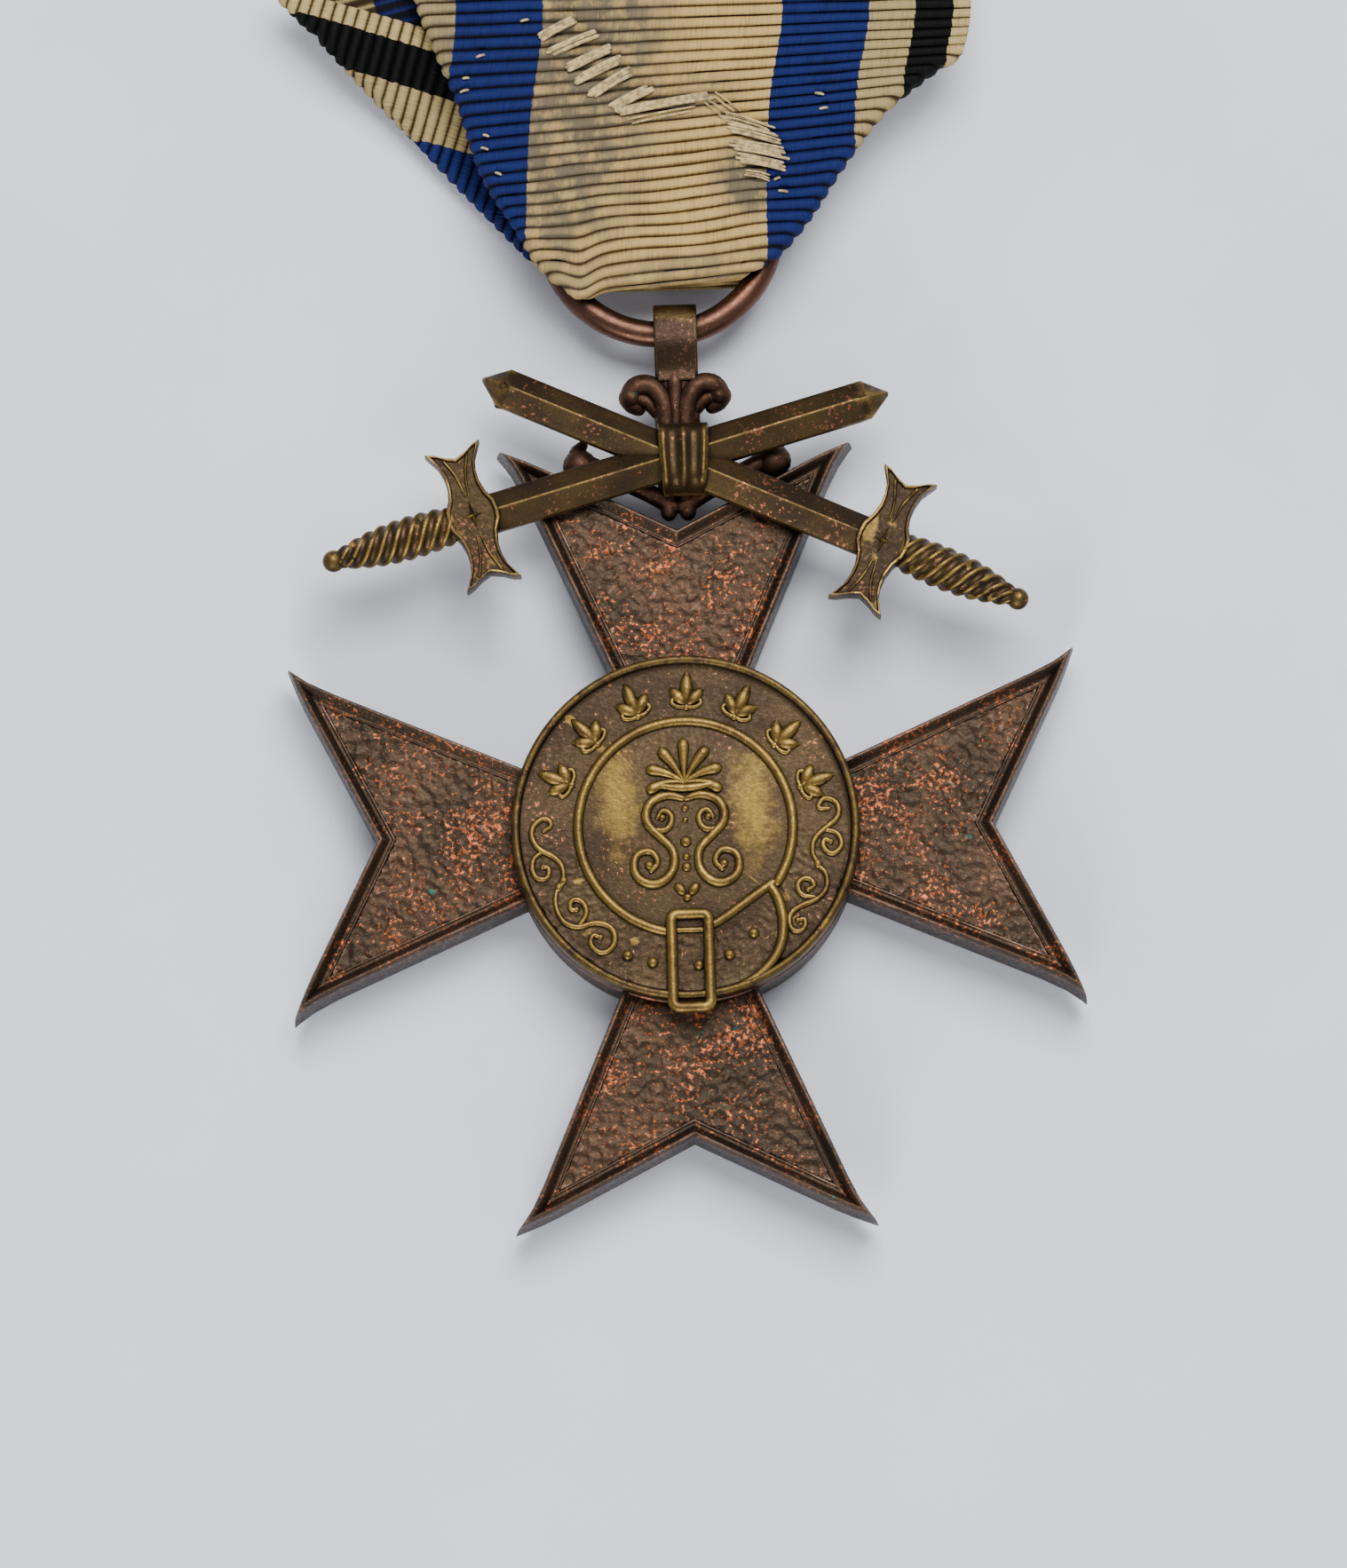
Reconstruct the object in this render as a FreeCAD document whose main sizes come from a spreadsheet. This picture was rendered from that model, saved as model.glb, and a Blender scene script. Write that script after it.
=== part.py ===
"""A military service medal: an enamel-free bronze cross with crossed swords, on its ribbon.

The medal lies face up. The frame is in millimetres: +Z out of the medal's face, +Y along the
cross's axis towards the ribbon, and the origin at the middle of the rear medallion's boss, which
rests on the surface z = 0.
"""
import FreeCAD, Part
import os

import Sketcher
from FreeCAD import Rotation, Vector

X_AXIS = Vector(1, 0, 0)
Z_AXIS = Vector(0, 0, 1)

# alias, value in mm or degrees, what it is
SIZES = (
    ("notch_reach", 16.25, "centre to the bottom of an arm's end notch"),
    ("side_angle", 23.5, "an arm's side line from the arm's axis, degrees"),
    ("notch_angle", 26.7, "an arm's end line from square, degrees"),
    ("cross_back", 1.0, "height of the cross's back"),
    ("cross_thick", 3.0, "thickness of the cross"),
    ("rim_outer", 0.42, "width of the raised outer rim"),
    ("rim_inner", 0.98, "width of the rim with its inner step"),
    ("step_depth", 0.22, "depth of the rim's inner step"),
    ("field_depth", 0.5, "depth of the pebbled field"),
    ("back_depth", 0.3, "depth of the back's field"),
    ("hub_radius", 9.15, "radius of the hub under the medallions"),
    ("medal_radius", 9.1, "radius of both medallions"),
    ("medal_thick", 1.0, "thickness of a medallion"),
    ("relief", 0.35, "height of a medallion's rims"),
    ("outer_rim", 0.4, "width of a medallion's outer rim"),
    ("belt_inner", 5.8, "outer radius of the ring inside the belt"),
    ("belt_ring", 0.42, "width of that ring"),
    ("boss_radius", 3.0, "radius of the rear medallion's boss"),
    ("peg_radius", 0.6, "radius of a medallion peg"),
    ("peg_place", 5.0, "distance of a peg from the centre"),
    ("peg_depth", 0.5, "depth of a peg in each medallion"),
    ("crossing_y", 19.86, "where the swords cross"),
    ("sword_back", 4.05, "height of the swords' backs"),
    ("lean_lower", 15.6, "angle of the lower sword, degrees"),
    ("lean_upper", 155.4, "angle of the upper sword, degrees"),
    ("pommel_lower", 18.8, "crossing to the lower sword's pommel"),
    ("pommel_upper", 19.6, "crossing to the upper sword's pommel"),
    ("sword_length", 30.65, "pommel's centre to the point"),
    ("blade_width", 2.1, "width of a blade"),
    ("blade_thick", 1.2, "thickness of a blade at its ridge"),
    ("blade_edge", 0.55, "thickness of a blade at its edges"),
    ("point_length", 1.2, "length of a blade's point"),
    ("guard_place", 7.7, "pommel's centre to the guard's middle"),
    ("guard_length", 8.0, "length of a guard"),
    ("guard_waist", 1.75, "width of a guard between its ends and middle"),
    ("guard_end", 2.6, "width of a guard's ends and middle"),
    ("guard_notch", 0.75, "depth of the notch in a guard's end"),
    ("guard_thick", 1.45, "thickness of a guard"),
    ("grip_radius", 0.98, "largest radius of a grip"),
    ("grip_end", 0.4, "radius of a grip at the pommel"),
    ("pommel_radius", 0.56, "radius of a pommel"),
    ("grip_axis", 0.5, "height of a grip's axis over the sword's back"),
    ("lap_gap", 0.02, "clearance of the half lap where the blades cross"),
    ("band_x", 0.5, "middle of the band that ties the swords"),
    ("band_width", 2.6, "width of the band"),
    ("band_leg", 1.5, "width of the band's legs, which stand in the swords' crotches"),
    ("band_height", 3.96, "height of the band along the cross's axis"),
    ("band_sheet", 0.33, "thickness of the band"),
    ("band_ridge", 0.15, "radius of a ridge on the band"),
    ("bracket_back", 1.8, "height of the suspension bracket's back"),
    ("bracket_thick", 1.9, "thickness of the suspension bracket"),
    ("stem_width", 2.05, "width of the bracket's stem"),
    ("stem_foot", 17.4, "lower end of the bracket's stem"),
    ("palmette_y", 23.55, "middle of the bracket's palmette"),
    ("palmette_depth", 1.6, "palmette's middle to the foot of its fan"),
    ("palmette_half", 2.15, "middle of a palmette volute from the stem's axis"),
    ("volute_radius", 0.88, "radius of a volute"),
    ("anchor_half", 5.2, "middle of a lower volute from the stem's axis"),
    ("anchor_y", 19.9, "height of the lower volutes"),
    ("arm_width", 0.95, "width of the bracket's lower arms"),
    ("tongue_end", 25.9, "upper end of the bracket's tongue"),
    ("tongue_thick", 2.0, "thickness of the tongue between the strap's limbs"),
    ("strap_x", 0.25, "middle of the ring strap"),
    ("strap_width", 2.4, "width of the ring strap"),
    ("strap_sheet", 0.4, "thickness of the ring strap"),
    ("strap_foot", 24.9, "lower end of the ring strap's limbs"),
    ("eye_radius", 1.0, "inner radius of the strap's bend"),
    ("eye_y", 27.15, "centre of the strap's bend"),
    ("ring_height", 2.7, "height of the ring's centre line"),
    ("ring_x", -0.42, "ring's centre across"),
    ("ring_y", 33.0, "ring's centre along"),
    ("ring_radius", 6.0, "radius of the ring's centre line"),
    ("ring_wire", 0.7, "radius of the ring's wire"),
    ("cloth", 0.5, "thickness of the ribbon"),
    ("front_height", 4.3, "underside of the ribbon's front leg"),
    ("back_height", 0.6, "underside of the ribbon's back leg at the ring"),
    ("seat_height", 2.35, "underside of the back leg on the brooch plate"),
    ("rise_start", 38.0, "where the back leg starts to rise to the brooch plate"),
    ("rise_end", 44.5, "where it reaches the plate"),
    ("ribbon_width", 33.1, "width of the ribbon, selvage to selvage"),
    ("ribbon_top", 53.0, "upper end of the ribbon"),
    ("fold_y", 29.7, "where the ribbon passes through the ring"),
    ("fold_width", 7.4, "width of the gathered ribbon inside the ring"),
    ("fold_x", -0.5, "middle of the gathered ribbon"),
    ("plate_x", -2.5, "middle of the brooch plate across"),
    ("plate_y", 48.5, "middle of the brooch plate along"),
    ("plate_length", 32.0, "length of the brooch plate"),
    ("plate_width", 6.5, "width of the brooch plate"),
    ("plate_sheet", 0.6, "thickness of the brooch plate"),
    ("plate_back", 1.7, "height of the brooch plate's back"),
    ("needle_height", 0.85, "height of the needle's axis"),
    ("needle_radius", 0.45, "radius of the needle"),
    ("needle_length", 27.0, "hinge pin to the needle's point"),
    ("needle_taper", 5.4, "length of the needle's tapered point"),
    ("needle_tip", 0.045, "radius of the needle's very tip"),
    ("hinge_x", -16.0, "hinge pin across"),
    ("pin_radius", 0.35, "radius of the hinge pin"),
    ("pin_clearance", 0.05, "running clearance of the needle's eye on its pin"),
    ("eye_outer", 0.62, "outer radius of the needle's eye"),
    ("eye_width", 1.2, "width of the needle's eye along the pin"),
    ("ear_gap", 0.06, "gap between the needle's eye and each hinge ear"),
    ("ear_sheet", 0.6, "thickness of a hinge ear"),
    ("ear_half", 0.7, "half the width of a hinge ear"),
    ("web_sheet", 0.15, "thickness of the hinge's web under the plate"),
    ("catch_x", 8.0, "middle of the catch across"),
    ("catch_length", 1.8, "length of the catch along the needle"),
    ("catch_wall", 0.5, "thickness of the catch's walls"),
    ("catch_gap", 0.05, "clearance between the needle and the catch"),
    ("stitch_radius", 0.14, "radius of the sewing thread"),
    ("stitch_pitch", 2.6, "distance between two stitches"),
    ("stitch_length", 1.56, "length of a stitch"),
    ("stitch_x", -0.9, "middle of the row of stitches across"),
)

STITCH_COUNT = 11
ARM_COUNT = 4
# swell of a grip over its end radius, from the pommel to the guard, as shares of the full swell
GRIP_SWELL = (0.000, 0.725, 0.914, 0.997, 0.966, 0.824, 0.588)

# outlines of the ribbon's layers in plan, across and along in mm; both legs run on to its upper end
FRONT_LEG_SIDE_RIGHT = ((5.1, 29.4), (9.6, 34.9), (14.1, 39.4), (15.6, 40.6), (16.6, 44.0))
FRONT_LEG_SIDE_LEFT = ((-13.2, 46.0), (-11.0, 40.3), (-8.3, 33.5), (-7.4, 31.7), (-4.7, 28.9),
                       (-3.5, 29.4))
BACK_LEG_RIGHT = ((6.0, 33.0), (10.6, 40.0))
BACK_LEG_LEFT = ((-20.6, 46.2), (-7.3, 31.5))
BACK_LEG_TOP = (10.0, -22.5)
BACK_LEG_FOLD = (-4.1, 3.4)
BACK_FLAP = ((-7.3, 31.6), (-6.0, 32.2), (-8.8, 42.2), (-20.2, 45.4))
LEFT_UNDERLAP = ((-7.0, 33.0), (-4.0, 33.0), (-9.0, 46.0), (-12.9, 46.0), (-10.6, 40.3))
RIGHT_UNDERLAP = ((8.9, 35.2), (13.2, 40.0), (9.5, 41.5), (5.6, 35.0))

document = FreeCAD.newDocument("ServiceMedal")
nodes = []


def make_sheet():
    """Write the driving dimensions into the document's spreadsheet."""
    sheet = document.addObject("Spreadsheet::Sheet", "Sizes")
    for row, (alias, value, note) in enumerate(SIZES, start=1):
        sheet.set("A%d" % row, str(value))
        sheet.setAlias("A%d" % row, alias)
        sheet.set("B%d" % row, note)
    document.recompute()
    return sheet


sheet = make_sheet()


def size(alias):
    """Give one driving dimension as a number."""
    return float(sheet.get(alias))


def bind(feature, **expressions):
    """Bind properties of a feature to expressions on the sheet's aliases."""
    for name, expression in expressions.items():
        feature.setExpression(name, expression)


def new_body(label):
    """Start a sub-part and list it for export."""
    body = document.addObject("PartDesign::Body", label + "_body")
    body.Label = label
    nodes.append(body)
    return body


def add_sketch(body, name, role, height="0"):
    """Put a sketch on one of a body's own origin planes, moved along its normal."""
    sketch = body.newObject("Sketcher::SketchObject", name)
    plane = [item for item in body.Origin.OriginFeatures if item.Role == role][0]
    sketch.AttachmentSupport = [(plane, "")]
    sketch.MapMode = "FlatFace"
    sketch.setExpression("AttachmentOffset.Base.z", height)
    return sketch


def constrain(sketch, kind, geometry, point, expression):
    """Hold one coordinate of a sketch point to an expression, measured from the origin."""
    value = float(sketch.evalExpression(expression))
    index = sketch.addConstraint(Sketcher.Constraint(kind, -1, 1, geometry, point, value))
    sketch.setExpression("Constraints[%d]" % index, expression)


def add_polygon(sketch, corners):
    """Draw a closed polygon whose corners are pairs of expressions."""
    first = sketch.GeometryCount
    places = [Vector(*(float(sketch.evalExpression(term)) for term in corner)) for corner in corners]
    count = len(places)
    for index in range(count):
        sketch.addGeometry(Part.LineSegment(places[index], places[(index + 1) % count]))
    for index, (across, along) in enumerate(corners):
        after = first + (index + 1) % count
        sketch.addConstraint(Sketcher.Constraint("Coincident", first + index, 2, after, 1))
        constrain(sketch, "DistanceX", first + index, 1, across)
        constrain(sketch, "DistanceY", first + index, 1, along)


def add_circle(sketch, across, along, radius):
    """Draw a circle whose centre and radius are expressions."""
    centre = Vector(*(float(sketch.evalExpression(term)) for term in (across, along)))
    value = float(sketch.evalExpression(radius))
    index = sketch.addGeometry(Part.Circle(centre, Z_AXIS, value))
    constrain(sketch, "DistanceX", index, 3, across)
    constrain(sketch, "DistanceY", index, 3, along)
    held = sketch.addConstraint(Sketcher.Constraint("Radius", index, value))
    sketch.setExpression("Constraints[%d]" % held, radius)


def rectangle(left, low, right, high):
    """Give a rectangle's corners as expressions."""
    return ((left, low), (right, low), (right, high), (left, high))


def pad(body, sketch, length, reverse=False, middle=False):
    """Raise a sketch into a solid."""
    feature = body.newObject("PartDesign::Pad", sketch.Name + "_pad")
    feature.Profile = sketch
    feature.Reversed = reverse
    feature.Midplane = middle
    bind(feature, Length=length)
    document.recompute()
    return feature


def pocket(body, sketch, depth, reverse=False):
    """Sink a sketch into the body, and check that it removes something."""
    before = body.Shape.Volume
    feature = body.newObject("PartDesign::Pocket", sketch.Name + "_pocket")
    feature.Profile = sketch
    feature.Reversed = reverse
    bind(feature, Length=depth)
    document.recompute()
    if body.Shape.Volume >= before:
        raise RuntimeError("%s cuts nothing" % feature.Name)
    return feature


def revolve(body, sketch, axis):
    """Turn a sketch a full turn about one of its own axes."""
    feature = body.newObject("PartDesign::Revolution", sketch.Name + "_revolution")
    feature.Profile = sketch
    feature.ReferenceAxis = (sketch, [axis])
    feature.Angle = 360.0
    document.recompute()
    return feature


def repeat_round(body, features, count):
    """Repeat features round the body's Z axis."""
    pattern = body.newObject("PartDesign::PolarPattern", features[0].Name + "_round")
    pattern.Originals = features
    axis = [item for item in body.Origin.OriginFeatures if item.Role == "Z_Axis"][0]
    pattern.Axis = (axis, [""])
    pattern.Angle = 360.0
    pattern.Occurrences = count
    body.Tip = pattern
    document.recompute()
    return pattern


def arm_outline(inset):
    """Give the four corners of an arm, drawn in by the inset, as expressions."""
    side = "Sizes.side_angle * 1deg"
    end = "Sizes.notch_angle * 1deg"
    reach = "Sizes.notch_reach"
    spread = "cos((Sizes.side_angle + Sizes.notch_angle) * 1deg)"
    across = (f"({reach} * sin({side}) * cos({end})"
              f" - {inset} * (cos({end}) + sin({side}))) / {spread}")
    along = (f"({reach} * cos({side}) * cos({end})"
             f" - {inset} * (cos({side}) + sin({end}))) / {spread}")
    neck = f"{inset} / sin({side})"
    notch = f"{reach} - {inset} / cos({end})"
    return (("0", neck), (across, along), ("0", notch), (f"-({across})", along))


def build_cross():
    """Build the struck cross: four forked arms with rims and sunk fields, round a hub."""
    body = new_body("cross_body")
    outline = add_sketch(body, "arm_outline", "XY_Plane", "Sizes.cross_back")
    add_polygon(outline, arm_outline("0"))
    arm = pad(body, outline, "Sizes.cross_thick")
    top = "Sizes.cross_back + Sizes.cross_thick"
    step = add_sketch(body, "arm_step", "XY_Plane", top)
    add_polygon(step, arm_outline("Sizes.rim_outer"))
    upper = pocket(body, step, "Sizes.step_depth")
    field = add_sketch(body, "arm_field", "XY_Plane", top)
    add_polygon(field, arm_outline("Sizes.rim_inner"))
    middle = pocket(body, field, "Sizes.field_depth")
    back = add_sketch(body, "arm_back", "XY_Plane", "Sizes.cross_back")
    add_polygon(back, arm_outline("Sizes.rim_inner"))
    lower = pocket(body, back, "Sizes.back_depth", reverse=True)
    repeat_round(body, [arm, upper, middle, lower], ARM_COUNT)
    hub = add_sketch(body, "hub_outline", "XY_Plane", "Sizes.cross_back")
    add_circle(hub, "0", "0", "Sizes.hub_radius")
    pad(body, hub, "Sizes.cross_thick")
    holes = add_sketch(body, "peg_holes", "XY_Plane", "Sizes.cross_back")
    for across in ("-Sizes.peg_place", "Sizes.peg_place"):
        add_circle(holes, across, "0", "Sizes.peg_radius")
    pocket(body, holes, "Sizes.cross_thick", reverse=True)
    return body


def build_front_medallion():
    """Build the front medallion: a disc with an outer rim and the belt's inner ring."""
    body = new_body("front_medallion")
    base = "Sizes.cross_back + Sizes.cross_thick"
    floor = base + " + Sizes.medal_thick"
    crest = floor + " + Sizes.relief"
    rim = "Sizes.medal_radius - Sizes.outer_rim"
    inner = "Sizes.belt_inner - Sizes.belt_ring"
    profile = add_sketch(body, "front_profile", "XZ_Plane")
    add_polygon(profile, (("0", base), ("Sizes.medal_radius", base), ("Sizes.medal_radius", crest),
                          (rim, crest), (rim, floor), ("Sizes.belt_inner", floor),
                          ("Sizes.belt_inner", crest), (inner, crest), (inner, floor), ("0", floor)))
    revolve(body, profile, "V_Axis")
    holes = add_sketch(body, "front_holes", "XY_Plane", base)
    for across in ("-Sizes.peg_place", "Sizes.peg_place"):
        add_circle(holes, across, "0", "Sizes.peg_radius")
    pocket(body, holes, "Sizes.peg_depth", reverse=True)
    return body


def build_rear_medallion():
    """Build the rear medallion: a disc with a rim and a boss that rest on the surface."""
    body = new_body("rear_medallion")
    top = "Sizes.cross_back"
    rim = "Sizes.medal_radius - Sizes.outer_rim"
    profile = add_sketch(body, "rear_profile", "XZ_Plane")
    add_polygon(profile, (("0", "0"), ("Sizes.boss_radius", "0"),
                          ("Sizes.boss_radius + Sizes.relief", "Sizes.relief"),
                          (rim + " - Sizes.relief", "Sizes.relief"), (rim, "0"),
                          ("Sizes.medal_radius", "0"), ("Sizes.medal_radius", top), ("0", top)))
    revolve(body, profile, "V_Axis")
    holes = add_sketch(body, "rear_holes", "XY_Plane", top)
    for across in ("-Sizes.peg_place", "Sizes.peg_place"):
        add_circle(holes, across, "0", "Sizes.peg_radius")
    pocket(body, holes, "Sizes.peg_depth")
    return body


def build_pegs():
    """Build the two pegs that hold both medallions to the cross."""
    pair = []
    for name, across in (("left_peg", "-Sizes.peg_place"), ("right_peg", "Sizes.peg_place")):
        peg = document.addObject("Part::Cylinder", name)
        bind(peg, Radius="Sizes.peg_radius", Height="Sizes.cross_thick + 2 * Sizes.peg_depth")
        peg.setExpression("Placement.Base.x", across)
        peg.setExpression("Placement.Base.z", "Sizes.cross_back - Sizes.peg_depth")
        pair.append(peg)
    group = document.addObject("Part::Compound", "peg_pair")
    group.Label = "medallion_pegs"
    group.Links = pair
    nodes.append(group)
    return group


def add_blade(body, name, start, tip):
    """Add a blade of flattened-diamond section, with a short point."""
    half = "Sizes.blade_width / 2"
    section = add_sketch(body, name + "_section", "YZ_Plane", start)
    add_polygon(section, ((f"-{half}", "0"), (half, "0"), (half, "Sizes.blade_edge"),
                          ("0", "Sizes.blade_thick"), (f"-{half}", "Sizes.blade_edge")))
    pad(body, section, f"{tip} - ({start})")
    shoulder = f"{tip} - Sizes.point_length"
    waste = add_sketch(body, name + "_point", "XY_Plane")
    add_polygon(waste, ((shoulder, f"-{half}"), (tip, "0"), (tip, f"-{half}")))
    add_polygon(waste, ((shoulder, half), (tip, "0"), (tip, half)))
    pocket(body, waste, "Sizes.blade_thick", reverse=True)


def add_hilt(body, name, pommel):
    """Add a sword's pommel, grip and fishtailed guard."""
    guard = f"{pommel} + Sizes.guard_place"
    profile = add_sketch(body, name + "_grip", "XZ_Plane")
    axis = "Sizes.grip_axis"
    grip_length = "(Sizes.guard_place - Sizes.guard_waist / 2)"
    corners = [(pommel, axis)]
    for step, swell in enumerate(GRIP_SWELL):
        share = step / (len(GRIP_SWELL) - 1)
        radius = f"(Sizes.grip_end + (Sizes.grip_radius - Sizes.grip_end) * {swell:.3f})"
        corners.append((f"{pommel} + {share:.3f} * {grip_length}", f"{axis} + {radius}"))
    corners.append((guard, f"{axis} + Sizes.grip_end"))
    corners.append((guard, axis))
    add_polygon(profile, corners)
    turned = body.newObject("PartDesign::Revolution", name + "_turned")
    turned.Profile = profile
    line = add_sketch(body, name + "_axis", "XZ_Plane", "0")
    line.addGeometry(Part.LineSegment(Vector(-1, size("grip_axis"), 0), Vector(1, size("grip_axis"), 0)))
    turned.ReferenceAxis = (line, ["Edge1"])
    turned.Angle = 360.0
    document.recompute()
    ball = body.newObject("PartDesign::AdditiveSphere", name + "_pommel")
    bind(ball, Radius="Sizes.pommel_radius")
    ball.setExpression("Placement.Base.x", pommel)
    ball.setExpression("Placement.Base.z", axis)
    document.recompute()
    half, quarter = "Sizes.guard_length / 2", "Sizes.guard_length / 5"
    end, waist = "Sizes.guard_end / 2", "Sizes.guard_waist / 2"
    cross = add_sketch(body, name + "_guard", "XY_Plane")
    add_polygon(cross, ((f"{guard} - {end}", half), (f"{guard} - {waist}", quarter),
                        (f"{guard} - {end}", "0"), (f"{guard} - {waist}", f"-{quarter}"),
                        (f"{guard} - {end}", f"-{half}"), (guard, f"-{half} + Sizes.guard_notch"),
                        (f"{guard} + {end}", f"-{half}"), (f"{guard} + {waist}", f"-{quarter}"),
                        (f"{guard} + {end}", "0"), (f"{guard} + {waist}", quarter),
                        (f"{guard} + {end}", half), (guard, f"{half} - Sizes.guard_notch")))
    pad(body, cross, "Sizes.guard_thick")
    flat = add_sketch(body, name + "_flat", "XY_Plane")
    far = "Sizes.guard_length"
    add_polygon(flat, rectangle(f"{pommel} - {far}", f"-{far}", guard, far))
    pocket(body, flat, far)


def build_sword(name, pommel_alias, angle_alias, other_alias, lap_below):
    """Build one sword along its own X axis, half lapped at the origin, then turn it into place."""
    body = new_body(name)
    pommel = f"-Sizes.{pommel_alias}"
    tip = f"Sizes.sword_length - Sizes.{pommel_alias}"
    add_blade(body, name, f"{pommel} + Sizes.guard_place", tip)
    add_hilt(body, name, pommel)
    turn = f"((Sizes.{other_alias} - Sizes.{angle_alias}) * 1deg)"
    half = "(Sizes.blade_width / 2 + Sizes.lap_gap)"
    reach = "(2 * Sizes.blade_width)"
    corners = []
    for along, across in ((-1, -1), (1, -1), (1, 1), (-1, 1)):
        corners.append((f"{along} * {reach} * cos({turn}) - {across} * {half} * sin({turn})",
                        f"{along} * {reach} * sin({turn}) + {across} * {half} * cos({turn})"))
    middle = "Sizes.blade_edge / 2"
    if lap_below:
        lap = add_sketch(body, name + "_lap", "XY_Plane")
        add_polygon(lap, corners)
        pocket(body, lap, middle + " + Sizes.lap_gap / 2", reverse=True)
    else:
        lap = add_sketch(body, name + "_lap", "XY_Plane", "Sizes.blade_thick")
        add_polygon(lap, corners)
        pocket(body, lap, f"Sizes.blade_thick - {middle} + Sizes.lap_gap / 2")
    body.Placement = FreeCAD.Placement(Vector(0, 0, 0), Rotation(Z_AXIS, size(angle_alias)))
    body.setExpression("Placement.Base.y", "Sizes.crossing_y")
    body.setExpression("Placement.Base.z", "Sizes.sword_back")
    return body


def build_band():
    """Build the ridged band that ties the swords to the bracket's stem."""
    body = new_body("sword_band")
    low = "Sizes.crossing_y - Sizes.band_height / 2"
    high = "Sizes.crossing_y + Sizes.band_height / 2"
    foot = "Sizes.bracket_back + Sizes.bracket_thick"
    inside = "Sizes.sword_back + Sizes.blade_thick + Sizes.lap_gap"
    front = inside + " + Sizes.band_sheet"
    for side, near, far in (("low", low, f"{low} + Sizes.band_sheet"),
                            ("high", f"{high} - Sizes.band_sheet", high)):
        leg = add_sketch(body, side + "_leg", "XY_Plane", foot)
        add_polygon(leg, rectangle("-Sizes.band_leg / 2", near, "Sizes.band_leg / 2", far))
        if side == "high":
            cover = add_sketch(body, "band_cover", "YZ_Plane", "Sizes.band_x")
            add_polygon(cover, ((low, inside), (high, inside), (high, f"{front} - Sizes.band_sheet / 2"),
                                (f"{high} - Sizes.band_sheet / 2", front),
                                (f"{low} + Sizes.band_sheet / 2", front),
                                (low, f"{front} - Sizes.band_sheet / 2")))
            pad(body, cover, "Sizes.band_width", middle=True)
        pad(body, leg, f"{inside} - ({foot}) + Sizes.band_sheet / 2")
    ridges = add_sketch(body, "band_ridges", "XZ_Plane", "-Sizes.crossing_y")
    for place in (-1, 0, 1):
        add_circle(ridges, f"Sizes.band_x + {place} * (Sizes.band_width / 2 - 2 * Sizes.band_ridge)",
                   front, "Sizes.band_ridge")
    pad(body, ridges, "Sizes.band_height - 2 * Sizes.band_sheet", middle=True)
    return body


def build_bracket():
    """Build the bracket: an anchor seated in the top arm's notch, a stem and a palmette."""
    body = new_body("suspension_bracket")
    half = "Sizes.stem_width / 2"
    stem = add_sketch(body, "bracket_stem", "XY_Plane", "Sizes.bracket_back")
    add_polygon(stem, rectangle(f"-{half}", "Sizes.stem_foot", half, "Sizes.palmette_y"))
    pad(body, stem, "Sizes.bracket_thick")
    reach = "Sizes.anchor_half - Sizes.volute_radius / 2"
    rise = "tan(Sizes.notch_angle * 1deg)"
    edge = "Sizes.notch_reach"
    arms = add_sketch(body, "bracket_arms", "XY_Plane", "Sizes.bracket_back")
    for side in ("", "-"):
        add_polygon(arms, ((f"{side}(0.6 * {half})", f"{edge} + 0.6 * {half} * {rise}"
                            " + Sizes.arm_width / 2"),
                           (f"{side}({half})", f"{edge} + {half} * {rise}"),
                           (f"{side}({reach})", f"{edge} + ({reach}) * {rise}"),
                           (f"{side}({reach})", f"{edge} + ({reach}) * {rise} + Sizes.arm_width"),
                           (f"{side}({half})", f"{edge} + {half} * {rise} + 2 * Sizes.arm_width"),
                           (f"{side}(0.6 * {half})", "Sizes.anchor_y")))
    pad(body, arms, "Sizes.bracket_thick - 0.2 * Sizes.arm_width")
    for name, across, along in (("lower", "Sizes.anchor_half", "Sizes.anchor_y"),
                                ("upper", "Sizes.palmette_half", "Sizes.palmette_y")):
        for side in ("left", "right"):
            scroll = add_sketch(body, f"{name}_{side}_volute", "XY_Plane", "Sizes.bracket_back")
            sign = "-" if side == "left" else ""
            add_circle(scroll, sign + across, along, "Sizes.volute_radius")
            pad(body, scroll, "Sizes.bracket_thick")
    crown = add_sketch(body, "palmette_fan", "XY_Plane", "Sizes.bracket_back")
    add_polygon(crown, (("-Sizes.palmette_half", "Sizes.palmette_y"),
                        ("0", "Sizes.palmette_y - Sizes.palmette_depth"),
                        ("Sizes.palmette_half", "Sizes.palmette_y"),
                        ("Sizes.palmette_half", "Sizes.palmette_y + Sizes.volute_radius"),
                        ("Sizes.stem_width / 2", "Sizes.strap_foot"),
                        ("-Sizes.stem_width / 2", "Sizes.strap_foot"),
                        ("-Sizes.palmette_half", "Sizes.palmette_y + Sizes.volute_radius")))
    pad(body, crown, "Sizes.bracket_thick")
    tongue = add_sketch(body, "bracket_tongue", "XY_Plane",
                        "Sizes.ring_height - Sizes.tongue_thick / 2")
    wide = "Sizes.strap_width / 2"
    add_polygon(tongue, rectangle(f"Sizes.strap_x - {wide}", "Sizes.palmette_y + Sizes.volute_radius",
                                  f"Sizes.strap_x + {wide}", "Sizes.tongue_end"))
    pad(body, tongue, "Sizes.tongue_thick")
    return body


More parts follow.
